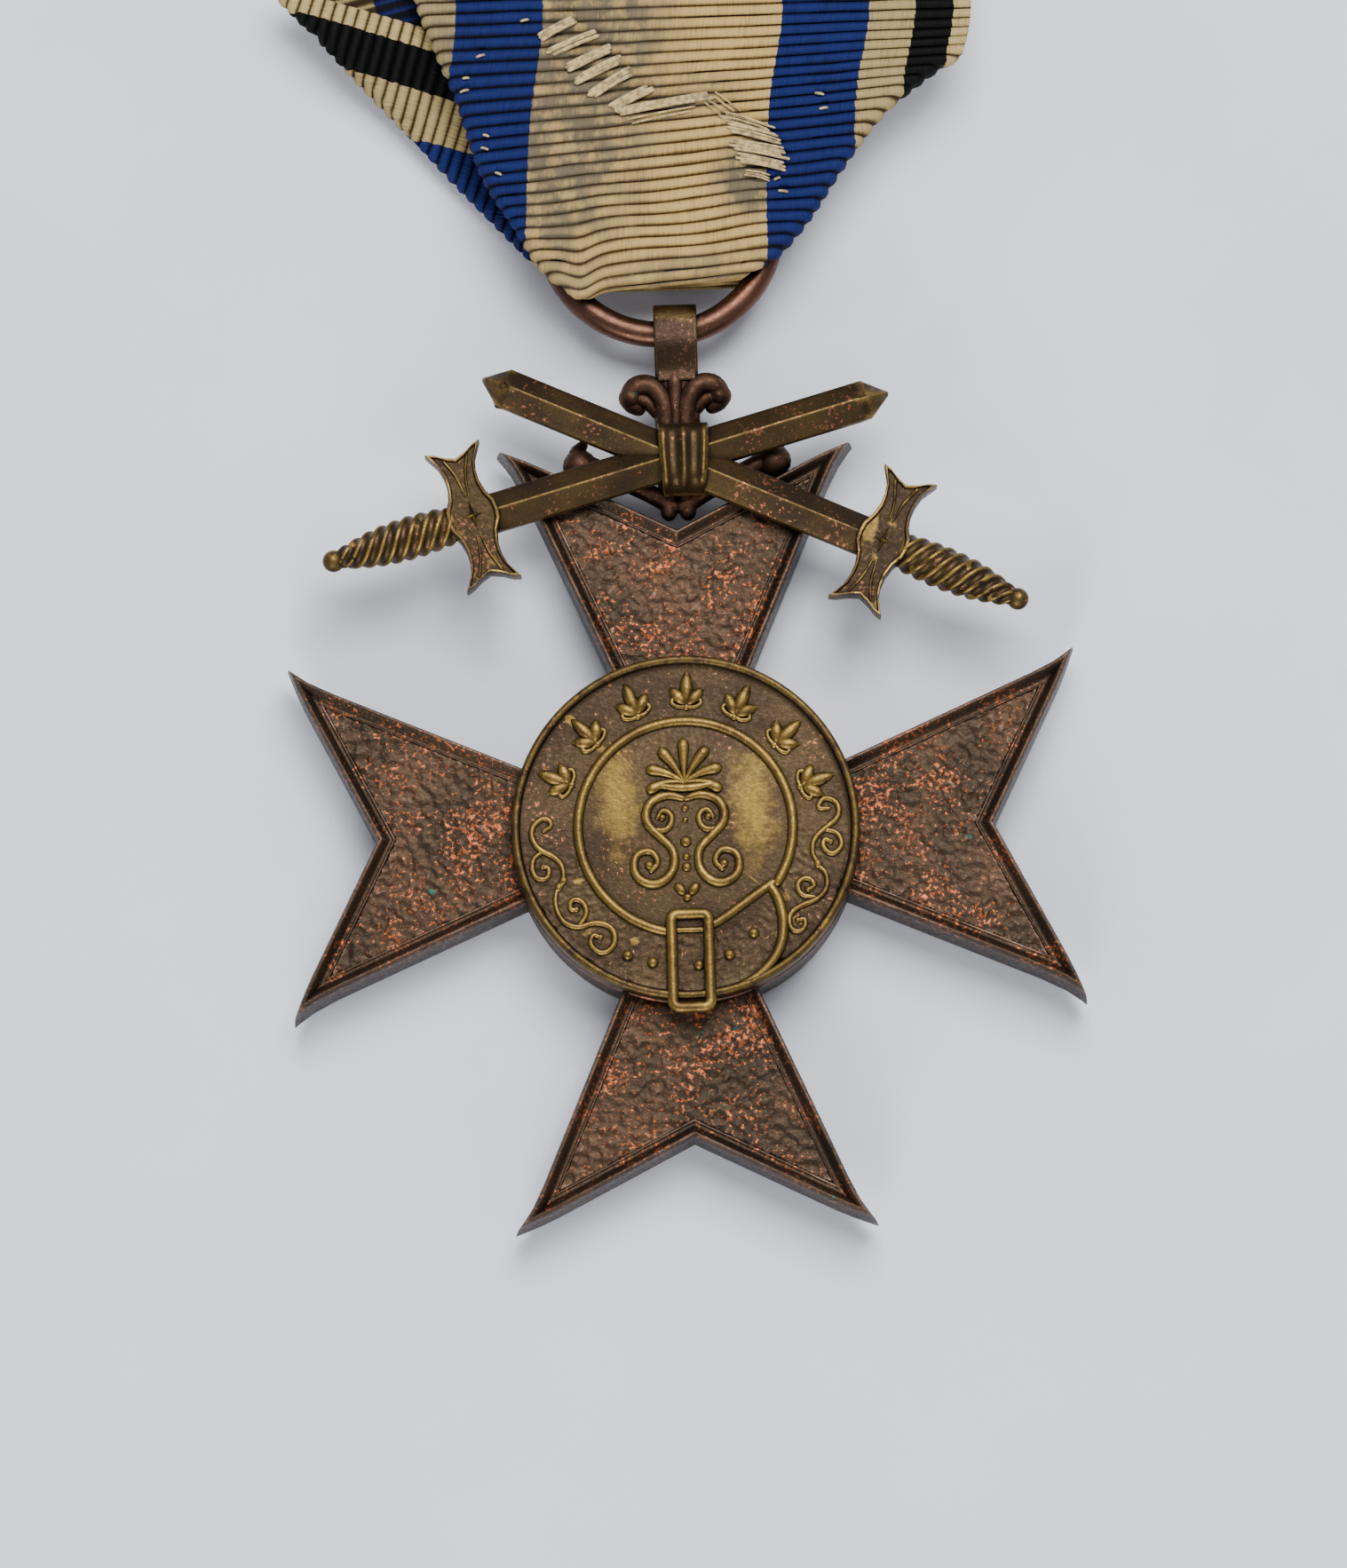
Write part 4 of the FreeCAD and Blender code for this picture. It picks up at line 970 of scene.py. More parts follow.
@dataclass
class FrontMedallion:
    """The front medallion: a disc with a strap-and-buckle belt round a scrolled palmette."""

    finish: BronzeFinish
    relief_finish: BronzeFinish
    base: float = 4.0
    floor: float = 4.95
    radius: float = 9.1
    belt_inner: float = 5.62
    ring_wire: float = 0.27
    turn_steps: int = 360
    tendrils: tuple[tuple[Point, ...], ...] = (
        ((-7.4, 0.0), (-6.9, 0.3), (-7.3, 0.75), (-7.95, 0.35), (-8.1, -0.3), (-7.7, -1.0), (-7.0, -1.3),
         (-6.5, -1.8), (-6.4, -2.5), (-6.6, -3.0)),
        ((-7.4, -1.05), (-8.1, -1.5), (-8.0, -2.5), (-7.25, -2.6), (-7.15, -1.95), (-7.5, -1.9)),
        ((-6.8, -3.1), (-6.95, -3.9), (-6.55, -4.9), (-5.7, -5.2), (-4.8, -4.85), (-3.9, -5.2),
         (-3.8, -6.1), (-4.5, -6.65), (-5.2, -6.1), (-5.0, -5.5), (-4.6, -5.7)),
        ((-5.7, -5.1), (-5.2, -4.4), (-5.5, -3.7), (-6.1, -3.65), (-6.15, -4.25), (-5.8, -4.2)),
        ((7.5, 0.75), (6.85, 0.75), (7.25, 1.4), (8.0, 1.1), (8.05, 0.3), (7.4, -0.2), (6.65, -0.8),
         (6.55, -1.6), (6.8, -2.0)),
        ((7.2, -0.35), (7.95, -0.5), (8.2, -1.25), (7.6, -1.75), (7.1, -1.3), (7.2, -0.8), (7.55, -1.0)),
        ((6.9, -2.3), (7.25, -2.6), (7.35, -3.4), (6.8, -4.05), (5.9, -4.3), (5.2, -4.8), (5.3, -5.65),
         (6.0, -5.7), (6.15, -5.0), (5.7, -5.1)),
        ((6.6, -3.9), (5.85, -3.8), (5.7, -3.1), (6.3, -2.8), (6.7, -3.3), (6.3, -3.5)))
    buds: tuple[Station, ...] = ((-6.7, -3.0, 80.0), (6.85, -2.15, 100.0), (-6.45, -2.65, 80.0))
    strap_end: tuple[Station, ...] = ((1.0, -5.3, 0.25), (1.7, -5.0, 0.25), (2.9, -4.15, 0.26),
                                      (3.9, -3.45, 0.27), (4.45, -3.1, 0.24))
    strap_loop: tuple[Station, ...] = ((4.3, -3.2, 0.26), (4.75, -3.9, 0.29), (5.0, -5.2, 0.3),
                                       (4.8, -6.5, 0.28), (4.05, -7.6, 0.27), (2.9, -8.4, 0.24),
                                       (1.4, -8.8, 0.2))
    studs: tuple[Point, ...] = ((-3.2, -6.7), (-1.9, -7.1), (0.5, -7.3), (2.1, -6.8), (3.4, -5.7))
    ring_span: Point = (-33.0, 258.0)
    ring_steps: int = 40
    buckle_sides: Point = (-0.89, 1.05)
    buckle_ends: Point = (-9.52, -4.62)
    buckle_corner: float = 0.75
    buckle_bar: float = -5.45
    beads: tuple[Point, ...] = ((0.95, 0.2), (0.35, 0.16), (-0.8, 0.3), (-1.6, 0.2), (-2.15, 0.25),
                                (-3.75, 0.22))
    sprig_count: int = 7
    sprig_radius: float = 7.22
    sprig_middle: float = 88.0
    sprig_step: float = 23.3

    def disc(self) -> bmesh.types.BMesh:
        """Turn the disc with its rounded rim, a sunk belt field and a slightly domed centre.

        Returns:
            The disc.
        """
        edge, floor = self.radius, self.floor
        profile = [(0.0, self.base), (edge - 0.1, self.base), (edge, self.base + 0.12), (edge, floor + 0.1)]
        profile += [(edge - 0.03, floor + 0.24), (edge - 0.12, floor + 0.31), (edge - 0.22, floor + 0.33),
                    (edge - 0.34, floor + 0.31), (edge - 0.42, floor + 0.22), (edge - 0.47, floor + 0.04),
                    (edge - 0.6, floor)]
        # The belt's field is cut into rings, so that its pits have corners to move.
        rings = 18
        for step in range(1, rings):
            profile.append((edge - 0.6 + (self.belt_inner + 0.6 - edge) * step / rings, floor))
        profile += [(self.belt_inner, floor + 0.02), (5.0, floor + 0.05), (3.5, floor + 0.1),
                    (1.8, floor + 0.14), (0.0, floor + 0.15)]
        return lathe(profile, self.turn_steps)

    def stipple(self, mesh: bmesh.types.BMesh) -> None:
        """Punch the belt's lower field with fine pits.

        Args:
            mesh: the disc.
        """
        for vert in mesh.verts:
            reach = math.hypot(vert.co.x, vert.co.y)
            if self.belt_inner + 0.2 < reach < self.radius - 0.55 and vert.co.z > self.floor - 0.1:
                low = ease(-vert.co.y, -1.5, 2.5)
                vert.co.z += 0.09 * low * noise.noise(Vector((vert.co.x, vert.co.y, 0.0)) * 6.0)

    def sprig(self, mesh: bmesh.types.BMesh, angle: float) -> None:
        """Add one bold leaf sprig: three leaves over a curled foot.

        Args:
            mesh: the relief.
            angle: its place round the belt, in degrees.
        """
        outward = math.radians(angle)
        along = Vector((math.cos(outward), math.sin(outward), 0.0))
        side = Vector((-along.y, along.x, 0.0))
        foot = along * (self.sprig_radius - 0.72)
        height = self.floor + 0.04
        for lean, length, width in ((0.0, 1.72, 0.29), (0.8, 1.2, 0.27), (-0.8, 1.2, 0.27)):
            heading = along * math.cos(lean) + side * math.sin(lean)
            line = [[*(foot + heading * length * step / 8).xy,
                     0.07 + width * math.sin(math.pi * step / 8) ** 0.7] for step in range(9)]
            wire(mesh, line, height, flatten=0.72)
        for sign in (-1, 1):
            curl = [foot - along * 0.12, foot + side * sign * 0.42 - along * 0.16,
                    foot + side * sign * 0.82 + along * 0.08, foot + side * sign * 0.66 + along * 0.34]
            wire(mesh, [(*place.xy, 0.13) for place in curl], height, flatten=0.85)
        button(mesh, *(foot - along * 0.14).xy, height, 0.2)

    def vines(self) -> bmesh.types.BMesh:
        """Draw the scrolled tendrils of the belt's two sides, each with its bud.

        Returns:
            The relief.
        """
        mesh = bmesh.new()
        height = self.floor + 0.05
        for points in self.tendrils:
            last = len(points) - 1
            line = [(*point, 0.17 - 0.05 * (2 * index / last - 1) ** 2) for index, point in enumerate(points)]
            wire(mesh, line, height, flatten=0.85)
            if math.dist(points[-1], points[-3]) < 0.75:
                button(mesh, *points[-1], height, 0.17)
        for across, along, turn in self.buds:
            button(mesh, across, along, height, 0.2, stretch=1.3, turn=turn)
        return mesh

    def buckle(self) -> bmesh.types.BMesh:
        """Draw the ring inside the belt, the strap's end with its loop, the buckle and the studs.

        Returns:
            The relief.
        """
        mesh = bmesh.new()
        height = self.floor + 0.08
        start, end = (math.radians(angle) for angle in self.ring_span)
        ring = []
        for step in range(self.ring_steps + 1):
            angle = start + (end - start) * step / self.ring_steps
            ring.append((self.belt_inner * math.cos(angle), self.belt_inner * math.sin(angle),
                         self.ring_wire))
        wire(mesh, ring, height - 0.02, flatten=0.9, sides=14)
        wire(mesh, self.strap_end, height, flatten=0.9, sides=14)
        wire(mesh, self.strap_loop, height, flatten=0.9, sides=14)
        (left, right), (low, high), bar = self.buckle_sides, self.buckle_ends, self.buckle_bar
        outline = []
        for index, (across, along) in enumerate(((left, low), (right, low), (right, high), (left, high))):
            inward = math.copysign(self.buckle_corner, (left + right) / 2 - across)
            upward = math.copysign(self.buckle_corner, (low + high) / 2 - along)
            turn = [(across, along + upward, 0.3), (across, along, 0.31), (across + inward, along, 0.3)]
            outline += turn[::-1] if index % 2 else turn
        wire(mesh, outline, height + 0.14, flatten=0.9, closed=True, sides=14)
        wire(mesh, [(left, bar, 0.15), (0.1, bar, 0.15), (right, bar, 0.15)], height + 0.02, 0.8)
        for across, along in self.studs:
            button(mesh, across, along, self.floor + 0.08, 0.29, flatten=0.85)
        return mesh

    def motif(self) -> bmesh.types.BMesh:
        """Draw the centre: a shell of seven lobes on a bar, over a lyre of volutes with beads.

        Returns:
            The relief.
        """
        mesh = bmesh.new()
        height = self.floor + 0.17
        root = Vector((0.0, 2.3, 0.0))
        for index in range(-3, 4):
            angle = math.radians(90 - index * 25)
            length = 2.05 - 0.11 * abs(index)
            line = []
            for step in range(9):
                share = step / 8
                bend = angle - math.radians(index * 8) * share
                place = root + Vector((math.cos(bend), math.sin(bend), 0)) * length * share
                line.append((place.x, place.y, 0.07 + 0.26 * share ** 0.9))
            wire(mesh, line, height, flatten=0.75)
        wire(mesh, [(-1.35, 2.2, 0.17), (-0.6, 2.06, 0.22), (0.0, 2.03, 0.24), (0.6, 2.06, 0.22),
                    (1.35, 2.2, 0.17)], height + 0.06, 0.9)
        for sign in (-1, 1):
            stem = [(0.1 * sign, 1.5, 0.2), (0.9 * sign, 1.75, 0.25), (1.9 * sign, 1.35, 0.27),
                    (2.15 * sign, 0.3, 0.27), (1.3 * sign, -0.55, 0.25), (0.55 * sign, -1.3, 0.24),
                    (0.7 * sign, -2.5, 0.26), (1.7 * sign, -3.15, 0.27), (2.75 * sign, -2.6, 0.25),
                    (2.75 * sign, -1.45, 0.22), (1.85 * sign, -1.15, 0.2), (1.4 * sign, -1.85, 0.18),
                    (1.85 * sign, -2.3, 0.15)]
            wire(mesh, stem, height, flatten=0.9, sides=14)
            button(mesh, 1.95 * sign, -2.0, height, 0.24)
            curl = [(1.85 * sign, -0.1, 0.2), (0.95 * sign, -0.25, 0.2), (0.6 * sign, 0.55, 0.18),
                    (1.15 * sign, 1.0, 0.16), (1.45 * sign, 0.5, 0.14)]
            wire(mesh, curl, height, flatten=0.9)
            button(mesh, 1.2 * sign, 0.5, height, 0.21)
            button(mesh, 0.36 * sign, -3.3, height, 0.26, stretch=1.5, turn=90 - 38 * sign)
        for along, radius in self.beads:
            button(mesh, 0.0, along, height, radius)
        return mesh

    def build(self) -> None:
        """Build the disc and its reliefs, which stand for the CAD medallion."""
        metal, raised = self.finish.build(), self.relief_finish.build()
        shape = self.disc()
        self.stipple(shape)
        disc = finish_piece("medallion_disc", shape, Body.CROSS, metal)
        mark_sharp(disc, 50)
        sprigs = bmesh.new()
        for index in range(self.sprig_count):
            shift = index - (self.sprig_count - 1) / 2
            self.sprig(sprigs, self.sprig_middle - shift * self.sprig_step)
        for name, relief in (("belt_sprigs", sprigs), ("belt_vines", self.vines()),
                             ("belt_buckle", self.buckle()), ("centre_palmette", self.motif())):
            finish_piece(name, relief, Body.CROSS, raised)
        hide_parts("front_medallion")


@dataclass
class RearMedallion:
    """The rear medallion: a rimmed disc with a plain boss in a ring of petals."""

    finish: BronzeFinish
    radius: float = 9.1
    top: float = 1.0
    petals: int = 12

    def build(self) -> None:
        """Build the disc and its petals, which stand for the CAD medallion."""
        material = self.finish.build()
        profile = [(0.0, 0.0), (2.85, 0.0), (3.0, 0.12), (3.2, 0.35), (8.3, 0.38), (8.55, 0.1),
                   (8.75, 0.0), (8.95, 0.04), (self.radius, 0.2), (self.radius, self.top), (0.0, self.top)]
        disc = finish_piece("rear_disc", lathe(profile), Body.CROSS, material)
        mark_sharp(disc, 50)
        petals = bmesh.new()
        for index in range(self.petals):
            angle = index * 360 / self.petals
            middle = math.radians(angle)
            button(petals, 5.7 * math.cos(middle), 5.7 * math.sin(middle), 0.36, 1.0, 0.3, 2.1, angle)
            between = math.radians(angle + 180 / self.petals)
            button(petals, 7.75 * math.cos(between), 7.75 * math.sin(between), 0.36, 0.34, 0.8)
        finish_piece("rear_petals", petals, Body.CROSS, material)
        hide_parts("rear_medallion")


# ---------------------------------------------------------------------------------------------
# The swords and what ties them on
# ---------------------------------------------------------------------------------------------

@dataclass
class Sword:
    """One of the crossed swords, drawn along +X with its back at z 0 and the crossing at x 0."""

    name: str
    node: str
    finish: BronzeFinish
    lean: float
    pommel_reach: float
    crossing: Point = (0.0, 19.86)
    back: float = 4.05
    length: float = 30.65
    guard_place: float = 7.7
    half_width: float = 1.05
    ridge: float = 1.22
    edge: float = 0.55
    point: float = 1.25
    guard_top: float = 1.45
    grip_ribs: float = 9.0
    rib_height: float = 0.09
    rib_twist: float = 5.0
    grip_axis: float = 0.5
    pommel_radius: float = 0.58

    def blade(self) -> bmesh.types.BMesh:
        """Draw the ridged blade out to its blunt, faceted point.

        Returns:
            The blade.
        """
        mesh = bmesh.new()
        start = self.guard_place - self.pommel_reach
        end = self.length - self.pommel_reach
        half, edge = self.half_width, self.edge
        section = [(-half, 0.0), (half, 0.0), (half, edge), (0.0, self.ridge), (-half, edge)]
        face = mesh.faces.new([mesh.verts.new((start, across, height)) for across, height in section])
        for reach, squeeze, low in ((end - self.point - start, 1.0, 1.0), (self.point, 0.07, 0.55)):
            moved = bmesh.ops.extrude_face_region(mesh, geom=[face])["geom"]
            face = next(item for item in moved if isinstance(item, bmesh.types.BMFace))
            bmesh.ops.translate(mesh, vec=(reach, 0, 0), verts=face.verts)
            bmesh.ops.scale(mesh, vec=(1, squeeze, low), verts=face.verts)
        bmesh.ops.triangulate(mesh, faces=[face for face in mesh.faces if len(face.verts) > 4])
        # The wear is read from the corners' own bend, so the long faces are cut into short ones.
        for longest, cuts in ((3.0, 50), (0.6, 3)):
            seams = [seam for seam in mesh.edges if seam.calc_length() > longest]
            bmesh.ops.subdivide_edges(mesh, edges=seams, cuts=cuts, use_grid_fill=True)
        return mesh

    def guard(self) -> bmesh.types.BMesh:
        """Cut the fishtailed guard, sink its field inside a thin border and lay on its star.

        Returns:
            The guard.
        """
        quarter = [(1.42, 0.0), (1.36, 0.5), (1.02, 1.1), (0.86, 1.75), (0.86, 2.35), (1.0, 3.0),
                   (1.5, 3.85), (1.1, 3.72), (0.55, 3.4), (0.0, 3.2)]
        upper = quarter + [(-across, along) for across, along in quarter[-2::-1]]
        outline = upper + [(-across, -along) for across, along in upper[1:-1]]
        mesh = bmesh.new()
        top = self.guard_top
        layers = ((0.04, 0.15), (0.0, 0.22), (0.0, top - 0.12), (0.06, top), (0.17, top),
                  (0.22, top - 0.05), (0.25, top - 0.17))
        stack(mesh, [[Vector((across * (1 - inset / 1.15), along * (1 - inset / 3.6), height))
                      for across, along in outline] for inset, height in layers])
        cap = max((face for face in mesh.faces if len(face.verts) > 8),
                  key=lambda face: face.calc_center_median().z)
        sunk = bmesh.ops.triangulate(mesh, faces=[cap])["faces"]
        inner = [edge for edge in mesh.edges if all(face in sunk for face in edge.link_faces)]
        bmesh.ops.subdivide_edges(mesh, edges=inner, cuts=5, use_grid_fill=True)
        star = bmesh.ops.create_cone(mesh, cap_ends=True, segments=8, radius1=1.0, radius2=0.0, depth=0.34,
                                     matrix=Matrix.Translation((0, 0, top - 0.05)))["verts"]
        for vert in star:
            turn = round(math.atan2(vert.co.y, vert.co.x) / (math.pi / 4)) % 8
            reach = (0.62, 0.2, 0.98, 0.2)[turn % 4]
            vert.co.x *= reach
            vert.co.y *= reach
        height = top - 0.16
        for sign in (-1, 1):
            for lean in (-1, 1):
                wire(mesh, [(0.1 * lean, 1.1 * sign, 0.06), (0.22 * lean, 2.2 * sign, 0.09),
                            (0.62 * lean, 3.2 * sign, 0.1)], height, 0.9, sides=8)
        bmesh.ops.translate(mesh, vec=(self.guard_place - self.pommel_reach, 0, 0), verts=mesh.verts)
        return mesh

    def grip(self) -> bmesh.types.BMesh:
        """Turn the wire-wrapped grip, with its oblique ribs, and the pommel's ball.

        Returns:
            The grip and pommel.
        """
        length = self.guard_place - 1.0
        swell = ((0.0, 0.4), (0.1, 0.55), (0.35, 0.92), (0.62, 1.06), (0.85, 1.0), (1.0, 0.9))
        steps = 84
        profile = [(0.0, 0.0)] + [(sample(swell, index / steps), length * index / steps)
                                  for index in range(steps + 1)] + [(0.0, length)]
        mesh = lathe(profile, 40)
        for vert in mesh.verts:
            reach = math.hypot(vert.co.x, vert.co.y)
            if reach < 0.01:
                continue
            share = vert.co.z / length
            phase = math.tau * self.grip_ribs * share + self.rib_twist * math.atan2(vert.co.y, vert.co.x)
            ends = ease(share, 0.02, 0.12) * ease(1.0 - share, 0.0, 0.06)
            gain = 1 + self.rib_height * ends * (math.sin(phase) - 0.25 * math.cos(2 * phase)) / reach
            vert.co.x *= gain
            vert.co.y *= gain
        bmesh.ops.create_uvsphere(mesh, u_segments=28, v_segments=18, radius=self.pommel_radius)
        bmesh.ops.create_cone(mesh, cap_ends=True, segments=28, radius1=0.44, radius2=0.44, depth=0.16,
                              matrix=Matrix.Translation((0, 0, 0.56)))
        place = (Matrix.Translation((-self.pommel_reach, 0, self.grip_axis))
                 @ Matrix.Rotation(math.pi / 2, 4, "Y"))
        bmesh.ops.transform(mesh, matrix=place, verts=mesh.verts)
        for vert in mesh.verts:
            vert.co.z = max(vert.co.z, 0.0)
        return mesh

    def build(self) -> None:
        """Build the sword's pieces, which stand for the CAD sword."""
        material = self.finish.build()
        place = (Matrix.Translation((*self.crossing, self.back))
                 @ Matrix.Rotation(math.radians(self.lean), 4, "Z"))
        blade = finish_piece(f"{self.name}_blade", self.blade(), Body.CROSS, material, place)
        sunk = replace(self.finish, name=f"{self.finish.name}_sunk",
                       wall=(self.back, self.back + self.guard_top))
        guard = finish_piece(f"{self.name}_guard", self.guard(), Body.CROSS, sunk.build(),
                             place)
        for piece, width in ((blade, 0.07), (guard, 0.045)):
            add_modifier(piece, "BEVEL", width=width * MM, segments=2, limit_method="ANGLE",
                         angle_limit=math.radians(22))
            mark_sharp(piece, 60)
        finish_piece(f"{self.name}_grip", self.grip(), Body.CROSS, material, place)
        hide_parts(self.node)


@dataclass
class Fastenings:
    """The ridged band over the crossing, the palmette bracket and the strap round the ring."""

    brass: BronzeFinish
    copper: BronzeFinish
    strap_finish: BronzeFinish
    band_middle: Station = (0.5, 19.86, 5.42)
    band_half: Point = (1.3, 1.98)
    bend: Point = (27.15, 2.7)
    bend_radius: float = 1.22
    strap_middle: float = 0.25
    strap_half: float = 1.2

    def band_place(self, across: float, along: float) -> Vector:
        """Give a place on the band, which arches over the blades in three ridges.

        Args:
            across: the share across the band.
            along: the share along it.

        Returns:
            The place.
        """
        middle_x, middle_y, top = self.band_middle
        side = 2 * across - 1
        run = 2 * along - 1
        ridge = 0.24 * (0.5 + 0.5 * math.cos(math.tau * side * 1.18)) ** 1.4
        sink = 1.35 * abs(run) ** 6 + 0.16 * abs(side) ** 6
        lean = 0.12 * side * run
        return Vector((middle_x + self.band_half[0] * side * (1 - 0.06 * run * run) + lean,
                       middle_y + self.band_half[1] * run, top + ridge * (1 - run ** 8) - sink))

    def strap_place(self, across: float, along: float) -> Vector:
        """Give a place on the strap, which runs up, round the ring's wire and down behind.

        Args:
            across: the share across the strap.
            along: the share along it.

        Returns:
            The place.
        """
        bend_y, bend_z = self.bend
        radius = self.bend_radius
        front, arc, rear = 2.9, math.pi * self.bend_radius, 2.2
        run = along * (front + arc + rear)
        side = 2 * across - 1
        if run < front:
            drop = ease(front - run, 0.6, 2.6)
            place = (bend_y - (front - run), bend_z + radius - 0.42 * drop)
        elif run < front + arc:
            angle = math.pi / 2 - (run - front) / radius
            place = (bend_y + radius * math.cos(angle), bend_z + radius * math.sin(angle))
        else:
            place = (bend_y - (run - front - arc), bend_z - radius)
        neck = 1 - 0.1 * ease(front - run, 0.4, 2.0)
        return Vector((self.strap_middle + self.strap_half * side * neck - 0.05 * abs(side) ** 4 * side,
                       place[0], place[1]))

    def bracket(self) -> bmesh.types.BMesh:
        """Model the bracket: furrowed stem, palmette with rolled leaves, lower scrolls and arms.

        Returns:
            The bracket.
        """
        mesh = bmesh.new()
        middle, height = 0.13, 2.85
        for sign in (-1, 1):
            tube(mesh, [(middle + 0.5 * sign, 17.3, height, 0.5), (middle + 0.52 * sign, 20.0, height, 0.56),
                        (middle + 0.5 * sign, 22.2, height + 0.1, 0.58),
                        (middle + 0.62 * sign, 23.3, height + 0.2, 0.62),
                        (middle + 1.25 * sign, 24.15, height + 0.25, 0.62),
                        (middle + 2.15 * sign, 24.1, height + 0.2, 0.64),
                        (middle + 2.5 * sign, 23.3, height + 0.1, 0.52),
                        (middle + 2.0 * sign, 22.95, height, 0.42)], 1.15)
            tube(mesh, [(middle + 1.0 * sign, 22.6, height + 0.1, 0.3),
                        (middle + 1.5 * sign, 23.3, height + 0.25, 0.4),
                        (middle + 2.0 * sign, 23.4, height + 0.25, 0.34)], 1.2)
            button(mesh, middle + 2.35 * sign, 23.5, height + 0.1, 0.66, 1.2)
            button(mesh, middle + 5.15 * sign, 19.9, height, 0.92, 1.0)
            tube(mesh, [(middle + 0.3 * sign, 17.6, height, 0.5), (middle + 1.5 * sign, 18.35, height, 0.5),
                        (middle + 3.2 * sign, 19.2, height, 0.52), (middle + 4.6 * sign, 19.9, height, 0.55),
                        (middle + 5.5 * sign, 20.5, height, 0.42), (middle + 5.0 * sign, 21.0, height, 0.32)],
                 1.2)
        tube(mesh, [(middle, 21.2, height + 0.3, 0.3), (middle, 23.0, height + 0.42, 0.4),
                    (middle, 24.5, height + 0.4, 0.5)], 1.1)
        plate = bmesh.ops.create_grid(mesh, x_segments=8, y_segments=10, size=0.5)["verts"]
        for vert in plate:
            side, run = 2 * vert.co.x, vert.co.y + 0.5
            vert.co = Vector((self.strap_middle + side * (1.18 - 0.12 * run), 22.0 + 4.2 * run,
                              3.42 + 0.22 * run - 0.25 * side ** 4))
        lifted = bmesh.ops.extrude_face_region(mesh, geom=list({f for v in plate for f in v.link_faces}))
        bmesh.ops.translate(mesh, vec=(0, 0, -1.5),
                            verts=[item for item in lifted["geom"] if isinstance(item, bmesh.types.BMVert)])
        return mesh

    def build(self) -> None:
        """Build the band, bracket and strap, which stand for their CAD nodes."""
        brass, copper, strap_metal = self.brass.build(), self.copper.build(), self.strap_finish.build()
        band = finish_piece("sword_band_cover", cloth_grid(36, 48, self.band_place), Body.CROSS, brass)
        add_modifier(band, "SOLIDIFY", thickness=0.4 * MM, offset=-1.0)
        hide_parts("sword_band")
        bracket = finish_piece("palmette_bracket", self.bracket(), Body.CROSS, copper)
        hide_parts("suspension_bracket")
        strap = finish_piece("ring_strap_bend", cloth_grid(14, 72, self.strap_place), Body.CROSS,
                             strap_metal)
        add_modifier(strap, "SOLIDIFY", thickness=0.4 * MM, offset=0.0)
        add_modifier(strap, "BEVEL", width=0.08 * MM, segments=2, limit_method="ANGLE")
        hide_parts("ring_strap")


# ---------------------------------------------------------------------------------------------
# The ribbon
# ---------------------------------------------------------------------------------------------

